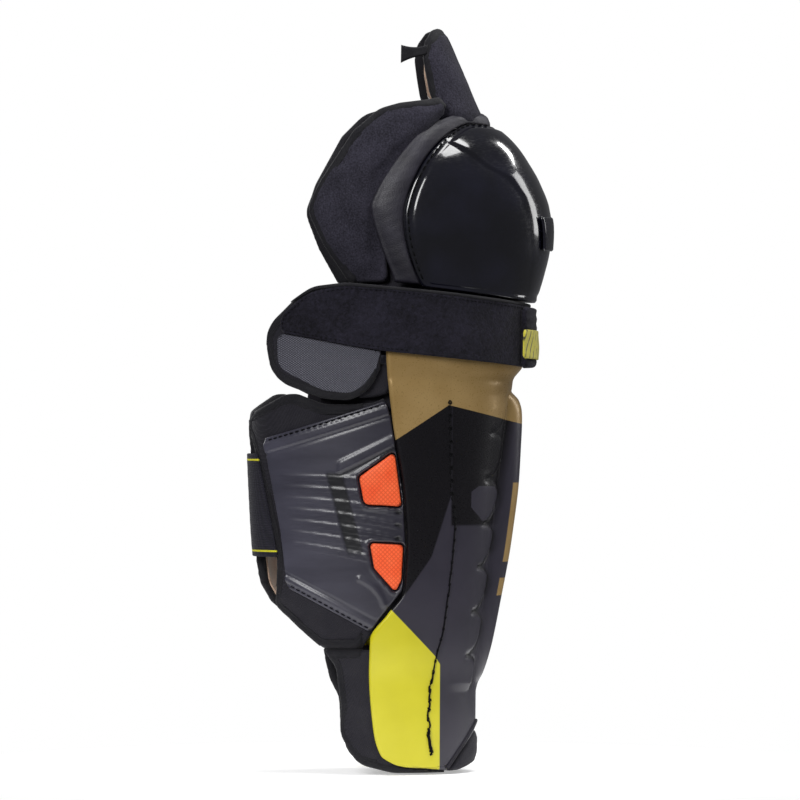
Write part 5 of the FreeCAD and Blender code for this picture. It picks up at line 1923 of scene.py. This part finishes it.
def make_front_strap():
    """Loop-fabric strap: sewn to the lateral wing, free round the front, with a hem and a pull label."""
    lay = Lay(LEG, origin="front")
    low_side = [(120, 270.6), (54, 277.9, 60), (-18, 285.2, 30)]
    lateral_path = rounded(low_side + BAND_REAR[::-1] + [(-18, 328.0, 30), (26, 323.2, 60), (120, 312.4)],
                           2.0, closed=False)
    lateral_flat = lay.flat(lateral_path, 6.6, LATERAL)
    lateral_flat = lateral_flat[lateral_flat[:, 0] < -0.5]
    end = np.array([(8, 316.8), (18, 316.6), (20, 314.5), (20, 278.0), (18, 275.8), (8, 275.2)])
    loop = tidy_loop(resample(np.vstack([lateral_flat, end]), 1.9, closed=True))

    def waves(flat, depth):
        return 0.30 * np.sin(flat[:, 0] * 0.085 + flat[:, 1]
                             * 0.05) + 0.16 * np.sin(flat[:, 0] * 0.27 - flat[:, 1] * 0.2)

    band = pad("front_strap_band", lay, loop, BAND_LAYER, [LOOK.strap_loop], edge=1.0, pitch=1.9,
               shape=waves)
    bodies = ("upper_wing_lateral", "front_strap")
    hinge = ((-0.0225, 0, 0.303), (-0.0145, 0, 0.303))
    settle_between(band, "strap_loop", bodies, hinge, "front_strap_base", "front_strap")
    edge_path = np.array([p for p in inset(loop, 2.1) if p[1] > 290 or p[0] < -112])
    edge_path = longest_run(edge_path, 8.0)
    seam = stitches("front_strap_stitches", lay, edge_path, 7.75, LOOK.thread, 3.0, 2.1, 0.24, 0.3)
    settle_between(seam, "thread", bodies, hinge)
    top = rounded([(120, 313.0), (26, 323.8, 60), (-44.5, 330.2, 40), (-66, 327.6, 20), (-80, 318.5)],
                  1.6, closed=False)
    line = lay.flat(top, 6.6, LATERAL)
    line = np.vstack([[16.0, 317.0], [6.0, 317.2], line[line[:, 0] < -1.0]])
    line = resample(line, 1.8)
    taper = 1.35 * bulge(np.arange(len(line))[::-1] + 0.4, 14) * bulge(np.arange(len(line)) + 0.4, 3)
    tube = tube_along(lay.space(line, 6.6), taper, 10)
    piping = new_object("front_strap_piping", *tube, [LOOK.binding_tape])
    settle_between(piping, "binding_tape", bodies, hinge)
    hem_loop = rounded([(-30, 274.6, 3), (-30, 316.0, 3), (17, 314.0, 3), (16.5, 274.2, 3)], 1.4)
    sewn_pad("front_strap_folded_hem", lay, hem_loop, HEM_LAYER, "strap_loop", "front_strap",
             "front_strap_hem", crown=0.5, edge=1.2, pitch=1.6, shape=lambda flat,
             depth: 0.3 * np.sin(flat[:, 1] * 2 * math.pi / 6.0), crown_reach=8.0)
    label_loop = rounded([(-34.5, 280.8, 1.5), (-34.0, 300.4, 1.5), (13.8, 298.8, 1.5),
                          (13.6, 279.2, 1.5)], 1.3)
    sewn_pad("front_strap_pull_label", lay, label_loop, LABEL_LAYER, "label_weave", "front_strap",
             "front_strap_label", edge=0.6, pitch=1.8, shape=lambda flat,
             depth: 0.35 * np.sin(flat[:, 0] * 0.16) * np.sin(flat[:, 1] * 0.3))
    hook_loop = rounded([(-17.5, 282.5, 2), (-17.5, 297.6, 2), (15.6, 297.2, 2), (15.6, 282.0, 2)], 1.4)
    sewn_pad("front_strap_hook_pad", lay, hook_loop, HOOK_LAYER, "hook_tape", "front_strap",
             "front_strap_hooks", edge=0.3, pitch=2.0)


# ---------------------------------------------------------------- camera, floor and lights
CAMERA_AZIMUTH = math.radians(-7.0)
CAMERA_TARGET = Vector((0.0, 0.0, 252.4 * MM))
CAMERA_DISTANCE = 4.0
VIEW_HEIGHT = 547.0 * MM
FLOOR_Z = -1.5 * MM
FLOOR_RADIUS = 0.34
SURROUND = 0.13


def make_camera():
    data = bpy.data.cameras.new("camera")
    data.sensor_width = 36.0
    data.lens = 36.0 * CAMERA_DISTANCE / VIEW_HEIGHT
    data.clip_start, data.clip_end = 0.1, 50.0
    camera = bpy.data.objects.new("camera", data)
    bpy.context.scene.collection.objects.link(camera)
    back = Vector((math.sin(CAMERA_AZIMUTH), -math.cos(CAMERA_AZIMUTH), 0.0))
    camera.location = CAMERA_TARGET + back * CAMERA_DISTANCE
    camera.rotation_mode = "QUATERNION"
    camera.rotation_quaternion = (-back).to_track_quat("-Z", "Y")
    bpy.context.scene.camera = camera


def make_light(name, position, size, power):
    data = bpy.data.lights.new(name, "AREA")
    data.shape = "RECTANGLE"
    data.size, data.size_y = size
    data.energy = power
    light = bpy.data.objects.new(name, data)
    bpy.context.scene.collection.objects.link(light)
    light.location = position
    light.rotation_mode = "QUATERNION"
    light.rotation_quaternion = (Vector(position) - Vector((0, 0, 0.25))).to_track_quat("Z", "Y")


def make_floor():
    bm = bmesh.new()
    bmesh.ops.create_circle(bm, cap_ends=True, segments=96, radius=FLOOR_RADIUS)
    mesh = bpy.data.meshes.new("studio_floor")
    bm.to_mesh(mesh)
    bm.free()
    floor = bpy.data.objects.new("studio_floor", mesh)
    bpy.context.scene.collection.objects.link(floor)
    floor.location = (0, 0, FLOOR_Z)
    look = Shader("studio_floor_look", 0.9, Base_Color=(0.9, 0.9, 0.9), Emission_Color=(1.0, 1.0, 1.0),
                  Emission_Strength=0.35)
    mesh.materials.append(look.material)


def make_world():
    """White backdrop, and a dimmer surround for the light and reflections that the object gets from it."""
    world = bpy.data.worlds.new("studio")
    world.use_nodes = True
    tree = world.node_tree
    backdrop = tree.nodes["Background"]
    backdrop.inputs["Color"].default_value = (1, 1, 1, 1)
    surround = tree.nodes.new("ShaderNodeBackground")
    surround.inputs["Color"].default_value = (0.95, 0.96, 1.0, 1)
    surround.inputs["Strength"].default_value = SURROUND
    seen = tree.nodes.new("ShaderNodeLightPath")
    choose = tree.nodes.new("ShaderNodeMixShader")
    tree.links.new(seen.outputs["Is Camera Ray"], choose.inputs[0])
    tree.links.new(surround.outputs[0], choose.inputs[1])
    tree.links.new(backdrop.outputs[0], choose.inputs[2])
    tree.links.new(choose.outputs[0], tree.nodes["World Output"].inputs["Surface"])
    bpy.context.scene.world = world


def make_stage():
    make_floor()
    make_world()
    make_light("key", (-1.3, -2.2, 1.5), (1.3, 1.3), 62)
    make_light("side", (2.2, 0.3, 0.9), (0.5, 1.4), 11)
    make_light("kicker", (1.95, 0.8, 1.95), (0.4, 0.4), 14)
    make_light("top", (0.5, -0.5, 2.2), (0.9, 0.9), 26)
    make_light("back", (-1.0, 2.2, 1.2), (1.6, 1.6), 26)
    bpy.context.scene.view_settings.view_transform = "Standard"


# ---------------------------------------------------------------- build
def main():
    make_shell()
    make_liner()
    make_cuff()
    make_bridge()
    make_cap_shell()
    make_cap_badge()
    make_cap_border()
    make_cap_lacing()
    cap_foam("knee_cap_liner_foam", "cap_liner", 0.87, 0.938, 0.93, 332.0)
    cap_foam("knee_cap_donut_foam", "knee_donut", 0.75, 0.848, 0.72, 336.0, hole=0.27)
    make_tongue()
    for side in (LATERAL, MEDIAL):
        make_shell_lacing(side, WORDS[side])
        make_lobe(side)
        make_roll(side)
        make_knee_wing(side)
        make_calf_wing(side)
        make_upper_wing(side)
    make_guard_plate()
    make_calf_strap()
    make_front_strap()
    make_stage()
    make_camera()


main()
